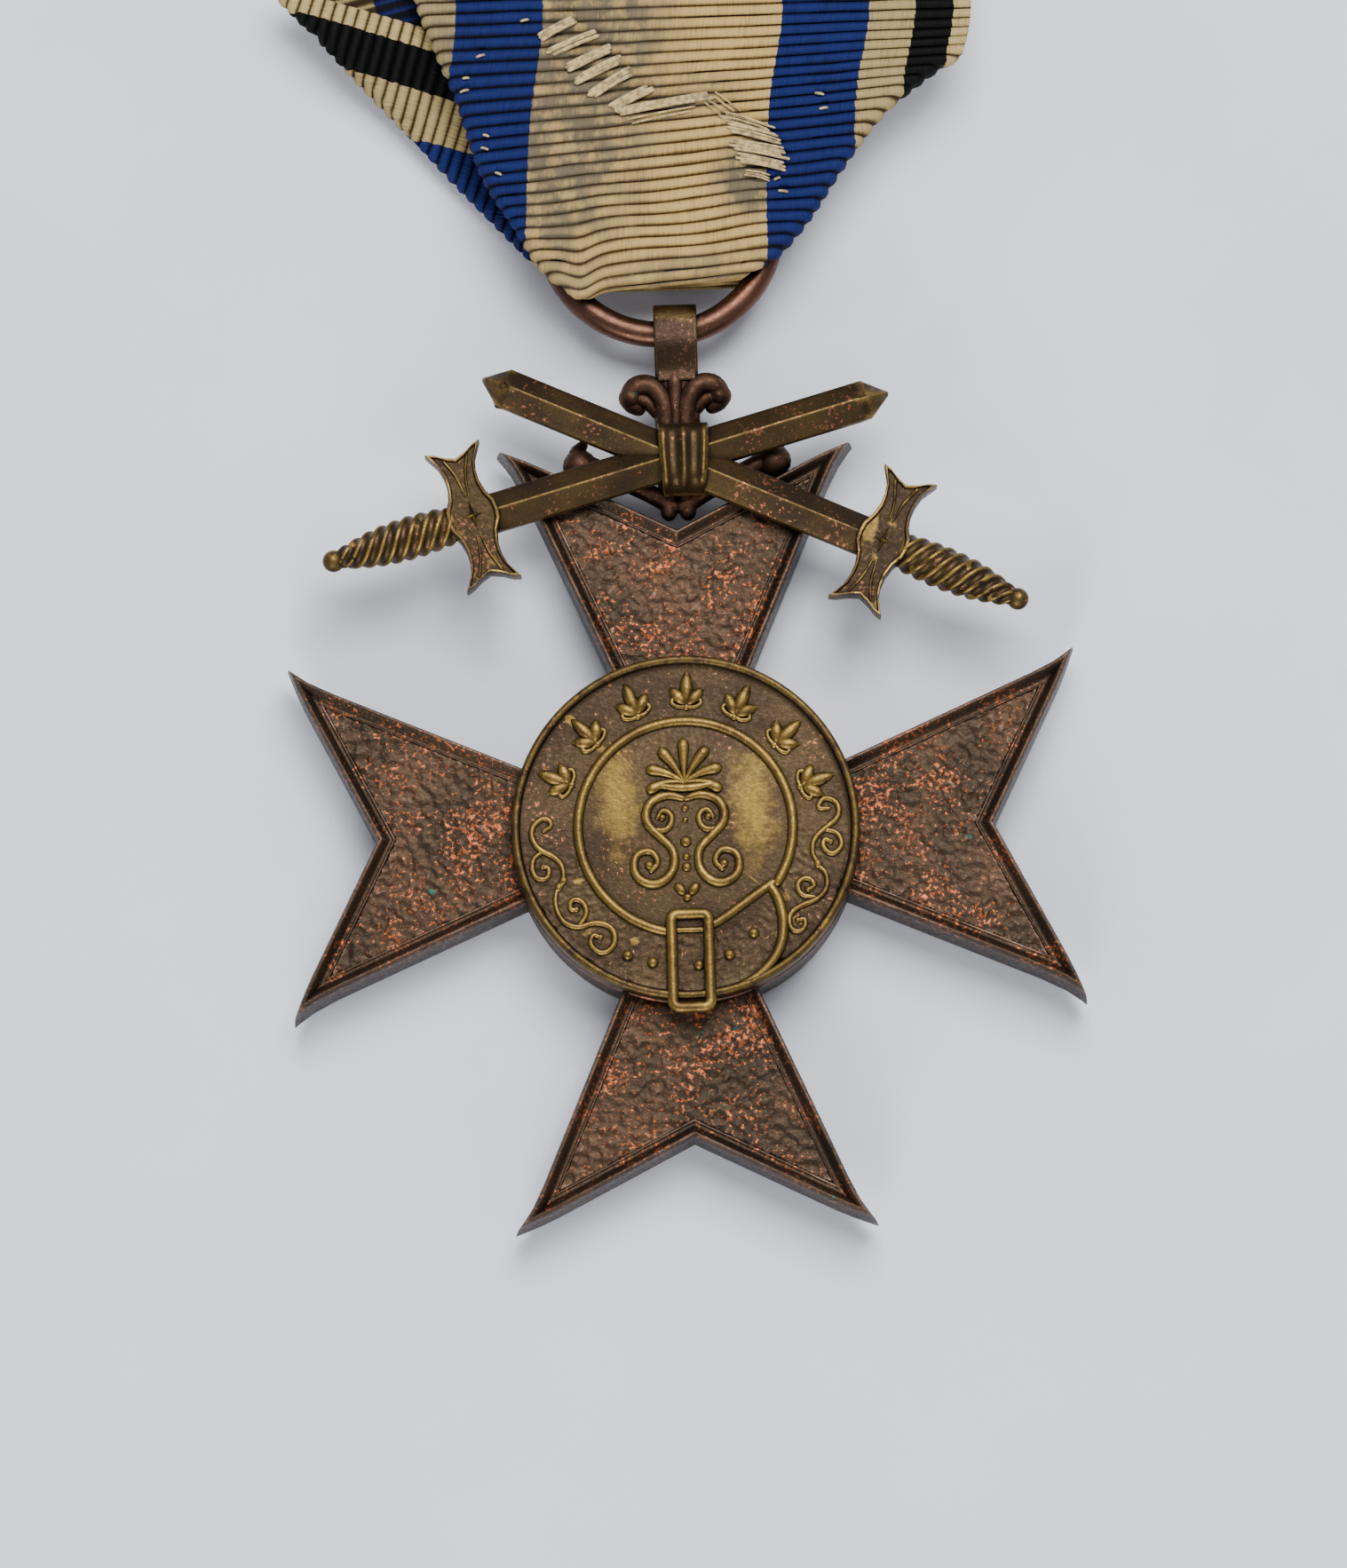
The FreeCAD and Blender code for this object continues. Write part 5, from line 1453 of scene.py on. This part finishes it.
@dataclass
class Ribbon:
    """The worn silk ribbon: folded in three through the ring, with both legs fanning upwards.

    Along the ribbon, positive lengths run up the front leg and negative ones up the back leg.
    """

    finish: GrosgrainFinish
    width: float = 33.1
    pitch: float = 0.63
    rib_height: float = 0.085
    rib_sag: float = 0.12
    cloth: float = 0.38
    front_length: float = 24.9
    back_length: float = 22.0
    front_offset: float = 28.1
    front_level: float = 4.55
    back_level: float = 0.85
    back_rise: float = 1.75
    turn_end: float = 3.0
    fold_roll: float = 0.7
    flap_radius: float = 0.26
    hole_squeeze: float = 0.76
    hole_middle: float = -0.45
    inner_steps: Point = (0.48, 0.8)
    origin: Point = (-0.5, 30.0)
    lean: float = 13.0
    columns: tuple[int, ...] = (14, 7, 44, 7, 14)
    rows_per_rib: int = 5
    centre_line: tuple[Point, ...] = ((29.4, -1.2), (34.0, -1.15), (39.0, -0.8), (44.0, 0.0), (53.0, 0.0))
    left_fold: tuple[Point, ...] = ((28.9, -4.9), (31.0, -6.9), (33.5, -8.3), (36.1, -9.75), (40.3, -11.1),
                                    (42.3, -12.0), (44.5, -12.9), (47.0, -13.6), (53.5, -16.3))
    right_fold: tuple[Point, ...] = ((29.3, 5.1), (31.5, 7.1), (34.9, 9.65), (37.4, 11.75), (39.4, 14.1),
                                     (40.9, 15.8), (43.6, 16.5), (53.5, 16.55))
    turn_along: tuple[Point, ...] = ((-3.0, 31.7), (-2.2, 30.9), (-1.5, 30.25), (-0.8, 29.9), (0.0, 29.9),
                                     (0.8, 29.62), (1.3, 29.62), (2.0, 30.1), (3.0, 31.1))
    turn_height: tuple[Point, ...] = ((-3.0, 0.85), (-2.2, 0.87), (-1.5, 1.15), (-0.8, 1.8), (0.0, 2.75),
                                      (0.8, 3.75), (1.3, 4.2), (2.0, 4.5), (3.0, 4.55))
    left_crease: tuple[float, float, float, float] = (-7.3, 31.5, 0.738, 0.675)
    right_crease: tuple[float, float, float, float] = (5.2, 31.0, -0.841, 0.542)

    def folds(self, run: float) -> Point:
        """Give the two fold lines' distances from the left selvage at one cross-section.

        Args:
            run: the length along the ribbon.

        Returns:
            The left and the right fold's distance from the left selvage.
        """
        if run >= 0:
            height = sample(self.turn_along, run) if run < self.turn_end else run + self.front_offset
            middle = sample(self.centre_line, height) - self.width / 2
            return (sample(self.left_fold, height) - middle, sample(self.right_fold, height) - middle)
        along = max(-run - 1.25, 0.0)
        blend = ease(-run, 0.0, 2.5)
        left = 12.2 + (11.95 - 0.648 * along - 12.2) * blend
        right = 22.85 + (22.65 + 1.029 * along - 22.85) * blend
        return (left, right)

    def lay_out(self, share: float, run: float) -> float:
        """Turn a column's share into a distance from the left selvage, keeping columns on the folds.

        Args:
            share: the column's share of the grid.
            run: the length along the ribbon.

        Returns:
            The distance from the left selvage.
        """
        left, right = self.folds(run)
        roll = self.fold_roll
        left = min(max(left, roll + 0.3), self.width)
        right = max(min(right, self.width - roll - 0.3), left + 4 * roll)
        stops = (0.0, left - roll, left + roll, right - roll, right + roll, self.width)
        place = share * sum(self.columns)
        for count, low, high in zip(self.columns, stops, stops[1:]):
            if place <= count:
                return low + (high - low) * place / count
            place -= count
        return self.width

    @staticmethod
    def roll_under(beyond: float, radius: float, room: float) -> Point:
        """Roll cloth round a fold.

        Args:
            beyond: how far the cloth runs past the fold's start.
            radius: the roll's radius.
            room: how much of the layer below is free.

        Returns:
            The offset outwards and the depth under the top layer.
        """
        if beyond <= 0:
            return (beyond, 0.0)
        arc = math.pi * radius
        if beyond < arc:
            angle = beyond / radius
            return (radius * math.sin(angle), radius * (1 - math.cos(angle)))
        back = beyond - arc
        # Past the free room, the hidden layer is gathered to a quarter of its length.
        return (-min(back, room) - 0.25 * max(0.0, back - room), 2 * radius)

    def front_offsets(self, across: float, run: float, height: float) -> tuple[float, float]:
        """Place a point of the folded front leg across its cross-section.

        Args:
            across: the distance from the left selvage.
            run: the length along the ribbon.
            height: the distance along +Y.

        Returns:
            The place across and the depth under the top layer.
        """
        middle = sample(self.centre_line, height)
        left, right = self.folds(max(run, 0.0))
        plain = across - self.width / 2 + middle
        room = right - left - 0.9
        edge = self.cloth / 2
        if across < left + edge + 0.24:
            radius = self.inner_steps[0] / 2
            start = left + edge + radius
            outward, depth = self.roll_under(start - across, radius, room)
            return (start - self.width / 2 + middle - outward, depth)
        if right < self.width - 0.05 and across > right - edge - 0.4:
            closing = ease(self.width - right, 0.0, 1.2)
            radius = self.inner_steps[1] / 2
            start = right - edge - radius
            outward, depth = self.roll_under(across - start, radius, room)
            folded = start - self.width / 2 + middle + outward
            return (plain + (folded - plain) * closing, depth * closing)
        return (plain, 0.0)

    def strip_place(self, across: float, run: float) -> Vector:
        """Place a point of the leaning back leg, whose two flaps fold forwards.

        Args:
            across: the distance from the left selvage.
            run: the length along the ribbon, negative.

        Returns:
            The place.
        """
        lean = math.radians(self.lean)
        along = -run - 1.25
        side = across - self.width / 2
        place = Vector((self.origin[0] - math.sin(lean) * along + math.cos(lean) * side,
                        self.origin[1] + math.cos(lean) * along + math.sin(lean) * side, 0.0))
        depth = 0.0
        for base_x, base_y, inward_x, inward_y in (self.left_crease, self.right_crease):
            inward = Vector((inward_x, inward_y, 0.0))
            signed = (place - Vector((base_x, base_y, 0.0))).dot(inward) - 0.45
            if signed < 0:
                outward, depth = self.roll_under(-signed, self.flap_radius, math.inf)
                place = place - inward * (signed + outward)
        rise = self.back_rise * ease(place.y, 38.0, 44.5)
        return Vector((place.x, place.y, self.back_level + rise + depth))

    def place(self, across: float, run: float) -> Vector:
        """Place a point of the ribbon.

        Args:
            across: the distance from the left selvage.
            run: the length along the ribbon.

        Returns:
            The place of the cloth's middle.
        """
        if run >= self.turn_end:
            height, level = run + self.front_offset, self.front_level
            inward = Vector((0.0, 0.0, -1.0))
        else:
            clamped = max(run, -self.turn_end)
            height = sample(self.turn_along, clamped) + (clamped - run)
            level = sample(self.turn_height, clamped)
            before, after = clamped - 0.1, min(clamped + 0.1, self.turn_end)
            rise = sample(self.turn_height, after) - sample(self.turn_height, before)
            climb = sample(self.turn_along, after) - sample(self.turn_along, before)
            flat = Vector((0.0, 0.0, 1.0))
            inward = Vector((0.0, rise, -climb)).normalized() if run > -self.turn_end else flat
        plain, depth = self.front_offsets(across, run, height)
        squeeze = 1 - (1 - self.hole_squeeze) * ease(-run, -2.3, -0.3)
        plain = self.hole_middle + (plain - self.hole_middle) * squeeze
        gathered = Vector((plain, height, level)) + inward * depth
        fade = 1 - ease(gathered.y, 37.0, 45.0)
        if run > -1.0:
            gathered.y += (0.085 * (gathered.x + 0.5) * fade * ease(run, -1.0, 1.5)
                           - 0.45 * math.exp(-((gathered.x + 4.7) / 0.8) ** 2) * ease(run, 0.0, 1.2)
                           * (1 - ease(run, 2.0, 6.0)))
            waves = 0.16 * noise.noise(Vector((gathered.x * 0.16, gathered.y * 0.14, 3.1)))
            ripple = 0.14 * math.sin(gathered.x * 0.9 + 0.5 * gathered.y) * (1 - ease(run, 3.0, 9.0))
            gathered.z += (waves + 0.6 * ripple * ease(run, 1.0, 3.0)) * ease(run, 1.0, 4.0)
            gathered.y += 0.5 * ripple * ease(run, 1.0, 3.0)
            return gathered
        left, right = self.folds(run)
        spread = 3.5 + 7.0 * min(max(left - across, 0.0), 12.0) / 12.0 + 0.4 * max(across - right, 0.0)
        weight = ease(-run, 1.0, 1.0 + spread)
        return gathered.lerp(self.strip_place(across, run), weight)

    def build(self) -> None:
        """Build the ribbon, which stands for the CAD ribbon."""
        total = self.front_length + self.back_length
        rows = round(total / self.pitch * self.rows_per_rib)
        mesh = bmesh.new()
        bmesh.ops.create_grid(mesh, x_segments=sum(self.columns), y_segments=rows, size=0.5)
        mesh.verts.index_update()
        weave = {}
        for vert in mesh.verts:
            run = (vert.co.y + 0.5) * total - self.back_length
            across = self.lay_out(vert.co.x + 0.5, run)
            weave[vert.index] = (across, run)
            vert.co = self.place(across, run)
        layer = mesh.loops.layers.uv.new("weave")
        for face in mesh.faces:
            for loop in face.loops:
                loop[layer].uv = weave[loop.vert.index]
        mesh.normal_update()
        for vert in mesh.verts:
            sag = self.rib_sag * noise.noise(Vector((vert.co.x * 0.4, vert.co.y * 0.5, 1.7)))
            rib = -math.cos(math.tau * (weave[vert.index][1] + sag) / self.pitch)
            vert.co += vert.normal * (self.rib_height * rib)
        cloth = finish_piece("ribbon_cloth", mesh, Body.RIBBON, self.finish.build(),
                             recalculate=False)
        add_modifier(cloth, "SOLIDIFY", thickness=self.cloth * MM, offset=0.0)
        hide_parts("ribbon")


@dataclass(frozen=True)
class Bundle:
    """Threads pulled loose side by side, from one end to the other, over the front leg."""

    start: Point
    end: Point
    threads: int
    radius: float = 0.11
    spread: float = 0.17


@dataclass
class Frays:
    """The weft threads that wear has pulled loose, and the thread that sews the folds shut."""

    ribbon: Ribbon
    silk: ThreadFinish
    linen: ThreadFinish
    loops: tuple[Bundle, ...] = (
        Bundle((-6.4, 43.0), (-4.6, 43.9), 3), Bundle((-6.0, 42.1), (-3.6, 43.1), 3),
        Bundle((-5.1, 41.2), (-2.8, 42.2), 4), Bundle((-4.6, 40.5), (-2.3, 41.6), 4),
        Bundle((-3.9, 39.7), (-1.8, 41.0), 4), Bundle((-2.7, 39.0), (-0.7, 40.0), 4),
        Bundle((-2.5, 38.7), (2.6, 39.5), 5, 0.1, 0.2), Bundle((-1.9, 38.3), (1.6, 38.9), 3, 0.05, 0.3),
        Bundle((2.4, 39.4), (3.8, 38.3), 4, 0.045, 0.4), Bundle((3.0, 38.4), (5.7, 37.5), 5, 0.06, 0.24),
        Bundle((3.4, 37.7), (6.1, 36.9), 5, 0.075, 0.22), Bundle((3.5, 36.8), (6.5, 36.15), 5, 0.085, 0.22),
        Bundle((3.9, 36.0), (6.3, 35.45), 5, 0.08, 0.2), Bundle((4.1, 35.2), (5.6, 34.8), 3, 0.05, 0.14))
    specks: tuple[Point, ...] = ((-9.7, 42.0), (-10.5, 40.8), (-10.6, 40.1), (-9.5, 37.6), (-9.6, 36.9),
                                 (-8.9, 35.5), (-7.3, 43.9), (8.3, 39.4), (8.5, 38.6), (5.9, 34.8),
                                 (6.2, 34.1))
    seed: int = 7
    speck_radius: float = 0.07
    arch: float = 0.16
    stitch_row: Station = (48.5, -13.4, 2.55)
    stitch_count: int = 11
    stitch_radius: float = 0.14

    def surface(self, across: float, along: float) -> float:
        """Give the height of the front leg's ribs.

        Args:
            across: the place across.
            along: the place along +Y.

        Returns:
            The height of the crests there.
        """
        middle = sample(self.ribbon.centre_line, along)
        run = along - self.ribbon.front_offset
        top = self.ribbon.place(across - middle + self.ribbon.width / 2, run).z
        return top + self.ribbon.cloth / 2 + self.ribbon.rib_height

    def thread(self, mesh: bmesh.types.BMesh, start: Point, end: Point, arch: float, radius: float) -> None:
        """Lay one thread in an arch over the ribs.

        Args:
            mesh: the mesh to add to.
            start: where it leaves the cloth.
            end: where it comes back.
            arch: its height over the ribs.
            radius: its radius.
        """
        points = []
        for share, lift in ((0.0, -0.12), (0.12, 0.3), (0.35, 0.9), (0.65, 1.0), (0.88, 0.35), (1.0, -0.12)):
            across = start[0] + (end[0] - start[0]) * share
            along = start[1] + (end[1] - start[1]) * share
            points.append((across, along, self.surface(across, along) + radius + arch * lift, radius))
        tube(mesh, points, sides=6)

    def build(self) -> None:
        """Build the loose threads and the stitches, which stand for the CAD stitching."""
        chance = random.Random(self.seed)
        loose = bmesh.new()
        for bundle in self.loops:
            (x0, y0), (x1, y1) = bundle.start, bundle.end
            heading = Vector((x1 - x0, y1 - y0)).normalized()
            for index in range(bundle.threads):
                drift = bundle.spread * (2 * index / (bundle.threads - 1) - 1) + chance.uniform(-0.04, 0.04)
                slip, tail = chance.uniform(-0.1, 0.35), chance.uniform(-0.4, 0.1)
                fan = drift * chance.uniform(0.7, 1.3)
                start = (x0 + heading.x * slip - heading.y * drift,
                         y0 + heading.y * slip + heading.x * drift)
                end = (x1 + heading.x * tail - heading.y * fan, y1 + heading.y * tail + heading.x * fan)
                self.thread(loose, start, end, self.arch * chance.uniform(0.3, 1.5), bundle.radius)
        for across, along in self.specks:
            half = chance.uniform(0.1, 0.2)
            lean = chance.uniform(-0.06, 0.06)
            self.thread(loose, (across - half, along - lean), (across + half, along + lean), 0.05,
                        self.speck_radius)
        finish_piece("frayed_threads", loose, Body.RIBBON, self.silk.build())
        sewn = bmesh.new()
        along, first, step = self.stitch_row
        for index in range(self.stitch_count):
            middle = first + step * index
            points = []
            for reach, lift in ((-0.62, -0.2), (-0.45, 0.02), (0.0, 0.06), (0.45, 0.02), (0.62, -0.2)):
                level = self.surface(middle + reach, along) + lift
                points.append((middle + reach, along + 0.05 * math.sin(index * 2.4), level,
                               self.stitch_radius))
            tube(sewn, points, 0.8, sides=8)
        stitches = finish_piece("fold_stitches", sewn, Body.RIBBON, self.linen.build())
        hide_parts("ribbon_stitching")


# ---------------------------------------------------------------------------------------------
# Carried-over nodes, the studio and the camera
# ---------------------------------------------------------------------------------------------

@dataclass
class CarriedNodes:
    """The CAD nodes whose shapes are right as they are, and the finishes they take."""

    finishes: dict[str, BronzeFinish | SteelFinish]

    def build(self) -> None:
        """Give each node its material."""
        for node, finish in self.finishes.items():
            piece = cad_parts[node]
            piece.data.materials.clear()
            piece.data.materials.append(finish.build())
            log.info("%s: finished as %s", node, finish.name)


@dataclass
class Studio:
    """The pale board, the soft light and the camera."""

    board: PaperFinish
    board_half: float = 900.0
    target: Station = (-0.56, 2.46, 4.0)
    elevation: float = 80.0
    distance: float = 350.0
    seen_height: float = 82.2
    sensor: float = 36.0
    roll: float = 1.7
    key_power: float = 7.8
    key_size: float = 420.0
    key_place: Station = (90.0, 300.0, 620.0)
    low_power: float = 3.4
    low_size: float = 220.0
    low_place: Station = (-120.0, -560.0, 270.0)
    world_strength: float = 0.68
    world_colour: str = "e6e9f2"

    def build(self) -> None:
        """Build the board, light the scene and aim the camera."""
        mesh = bmesh.new()
        bmesh.ops.create_grid(mesh, x_segments=1, y_segments=1, size=self.board_half * MM)
        data = bpy.data.meshes.new("board")
        mesh.to_mesh(data)
        mesh.free()
        data.materials.append(self.board.build())
        board = bpy.data.objects.new("board", data)
        bpy.context.scene.collection.objects.link(board)
        self.light()
        self.aim()

    def light(self) -> None:
        """Hang a large soft light overhead and a dimmer one low at the foot, in a pale world."""
        world = bpy.data.worlds.new("studio_air")
        world.use_nodes = True
        background = world.node_tree.nodes["Background"]
        background.inputs["Color"].default_value = to_linear(self.world_colour)
        background.inputs["Strength"].default_value = self.world_strength
        bpy.context.scene.world = world
        for name, place, size, power in (("softbox", self.key_place, self.key_size, self.key_power),
                                         ("window", self.low_place, self.low_size, self.low_power)):
            lamp = bpy.data.lights.new(name, "AREA")
            lamp.shape = "SQUARE"
            lamp.size = size * MM
            lamp.energy = power
            holder = bpy.data.objects.new(name, lamp)
            holder.location = Vector(place) * MM
            holder.rotation_euler = (-holder.location).to_track_quat("-Z", "Y").to_euler()
            bpy.context.scene.collection.objects.link(holder)

    def aim(self) -> None:
        """Set the camera over the medal, a little below upright."""
        lens = bpy.data.cameras.new("camera")
        lens.sensor_width = self.sensor
        lens.lens = self.sensor * self.distance / self.seen_height
        camera = bpy.data.objects.new("camera", lens)
        tilt = math.radians(self.elevation)
        target = Vector(self.target) * MM
        reach = Vector((0.0, -math.cos(tilt), math.sin(tilt))) * self.distance * MM
        turn = Matrix.Rotation(math.pi / 2 - tilt, 4, "X") @ Matrix.Rotation(-math.radians(self.roll), 4, "Z")
        camera.matrix_world = Matrix.Translation(target + reach) @ turn
        bpy.context.scene.collection.objects.link(camera)
        bpy.context.scene.camera = camera


# Struck bronze, browned with age: dull chocolate fields, coppery flakes, dark walls.
CROSS_BRONZE = BronzeFinish("struck_bronze_cross", base="403024", dark="2f261d", rub_and_highlight="6b5547",
                            speckle="85492c", speckle_share=0.2, rub=0.7, wall=(1.05, 3.4),
                            centre_speckle=0.06, verdigris=1.0, grain_depth=0.45)
# Struck brass gone olive, with two yellow patches beside the raised centre: partly worn gilding, partly a
# painted highlight of the slightly domed field.
MEDALLION_BRASS = BronzeFinish("olive_brass_medallion", base="3d3020", dark="2f241a", rub_and_highlight="6f5a28",
                               speckle="7a4f36", speckle_share=0.08, rub=0.85, wall=(4.0, 4.88),
                               patches=(Patch(-3.47, 1.2, 1.35, 3.0, 0.8),
                                        Patch(3.55, 1.1, 1.35, 2.9, 0.8)))
# The same brass on the side that lies on cloth: even and olive, with nothing rubbed.
REAR_BRASS = replace(MEDALLION_BRASS, name="olive_brass_rear", patches=(), wall=(0.0, 0.0))
# Raised brass relief, which every touch polishes: paler and yellower than its ground.
RELIEF_BRASS = BronzeFinish("rubbed_brass_relief", base="665127", dark="4a381f", rub_and_highlight="8b7238",
                            speckle="8f5c41", speckle_share=0.08, rub=0.9, roughness=0.4)
# Cast and filed brass: smooth, olive in its hollows, with bright yellow edges.
SWORD_BRASS = BronzeFinish("olive_brass_swords", base="45361f", dark="30251a", rub_and_highlight="8a703a",
                           speckle="82513a", speckle_share=0.17, rub=1.0, grain_depth=0.15)
# Cast copper alloy that was never polished: nearly black, matte, with specks of green.
BRACKET_COPPER = BronzeFinish("dull_copper_bracket", base="38271e", dark="1f1610", rub_and_highlight="604333",
                              speckle="6a432e", speckle_share=0.2, verdigris=1.5, roughness=0.56)
# Rolled copper strip, bent cold: smooth and dark, with one worn place where the ring rides.
STRAP_COPPER = BronzeFinish("bent_copper_strap", base="32251a", dark="231913", rub_and_highlight="614e2e",
                            speckle="5a3c2e", speckle_share=0.15, roughness=0.4,
                            patches=(Patch(0.25, 27.9, 1.2, 0.6, 0.8),))
# Drawn copper wire: the smoothest and reddest metal here, kept clean by the cloth that slides on it.
RING_COPPER = BronzeFinish("drawn_copper_ring", base="5e3f31", dark="3f2c24", rub_and_highlight="946f5c",
                           speckle="7d5442", speckle_share=0.12, rub=0.4, roughness=0.36,
                           grain_depth=0.1)
# Pressed sheet brass, hidden behind the cloth: pale and yellow, with little patina.
BROOCH_BRASS = BronzeFinish("pressed_brass_brooch", base="7a6a42", dark="594a2e", rub_and_highlight="a8965e",
                            speckle="8f6f4a", speckle_share=0.05, rub=0.5, roughness=0.42)
# Drawn steel: cool grey and bright, the one metal here without a brown cast.
PIN_STEEL = SteelFinish("polished_steel_pin")
NEEDLE_STEEL = SteelFinish("steel_needle")
# Silk grosgrain, its ribs 0.63 mm apart: a soft cord in each rib, painted pale on its crest, with painted
# shade between the ribs, grey with dirt.
RIBBON_SILK = GrosgrainFinish("silk_grosgrain", width=33.1, rib_pitch=0.63, centre="b0935a",
                              stripes=(Stripe("a38f60", 1.0), Stripe("060606", 2.1),
                                       Stripe("948258", 2.4), Stripe("141d4e", 4.65)),
                              stains=(Patch(10.8, 14.5, 8.8, 18.5, 1.2), Patch(22.6, 6.6, 3.2, 3.4, 1.25),
                                      Patch(17.0, 11.4, 6.0, 1.8, 0.8), Patch(19.0, 1.6, 7.5, 1.7, 0.6)))
# Loose silk filaments: paler than the cloth, because they lie over its dirt, and without gloss.
FRAYED_SILK = ThreadFinish("frayed_silk", "bda46c", "7d6a42")
# Spun linen thread: grey-buff and dull, darker between its plies.
SEWING_LINEN = ThreadFinish("linen_thread", "a3987c", "6d644e")


def main() -> None:
    """Build the medal's sub-assemblies, its studio and its camera."""
    Cross(CROSS_BRONZE).build()
    FrontMedallion(MEDALLION_BRASS, RELIEF_BRASS).build()
    RearMedallion(REAR_BRASS).build()
    Sword("lower_sword", "sword_lower", SWORD_BRASS, 15.6, 18.8).build()
    Sword("upper_sword", "sword_upper", SWORD_BRASS, 155.4, 19.6).build()
    Fastenings(SWORD_BRASS, BRACKET_COPPER, STRAP_COPPER).build()
    ribbon = Ribbon(RIBBON_SILK)
    ribbon.build()
    Frays(ribbon, FRAYED_SILK, SEWING_LINEN).build()
    CarriedNodes({"suspension_ring": RING_COPPER, "brooch_plate": BROOCH_BRASS,
                  "hinge_ears": BROOCH_BRASS, "needle_catch": BROOCH_BRASS,
                  "medallion_pegs": BROOCH_BRASS, "hinge_pin": PIN_STEEL,
                  "needle": NEEDLE_STEEL}).build()
    Studio(PaperFinish()).build()


if __name__ == "__main__":
    main()
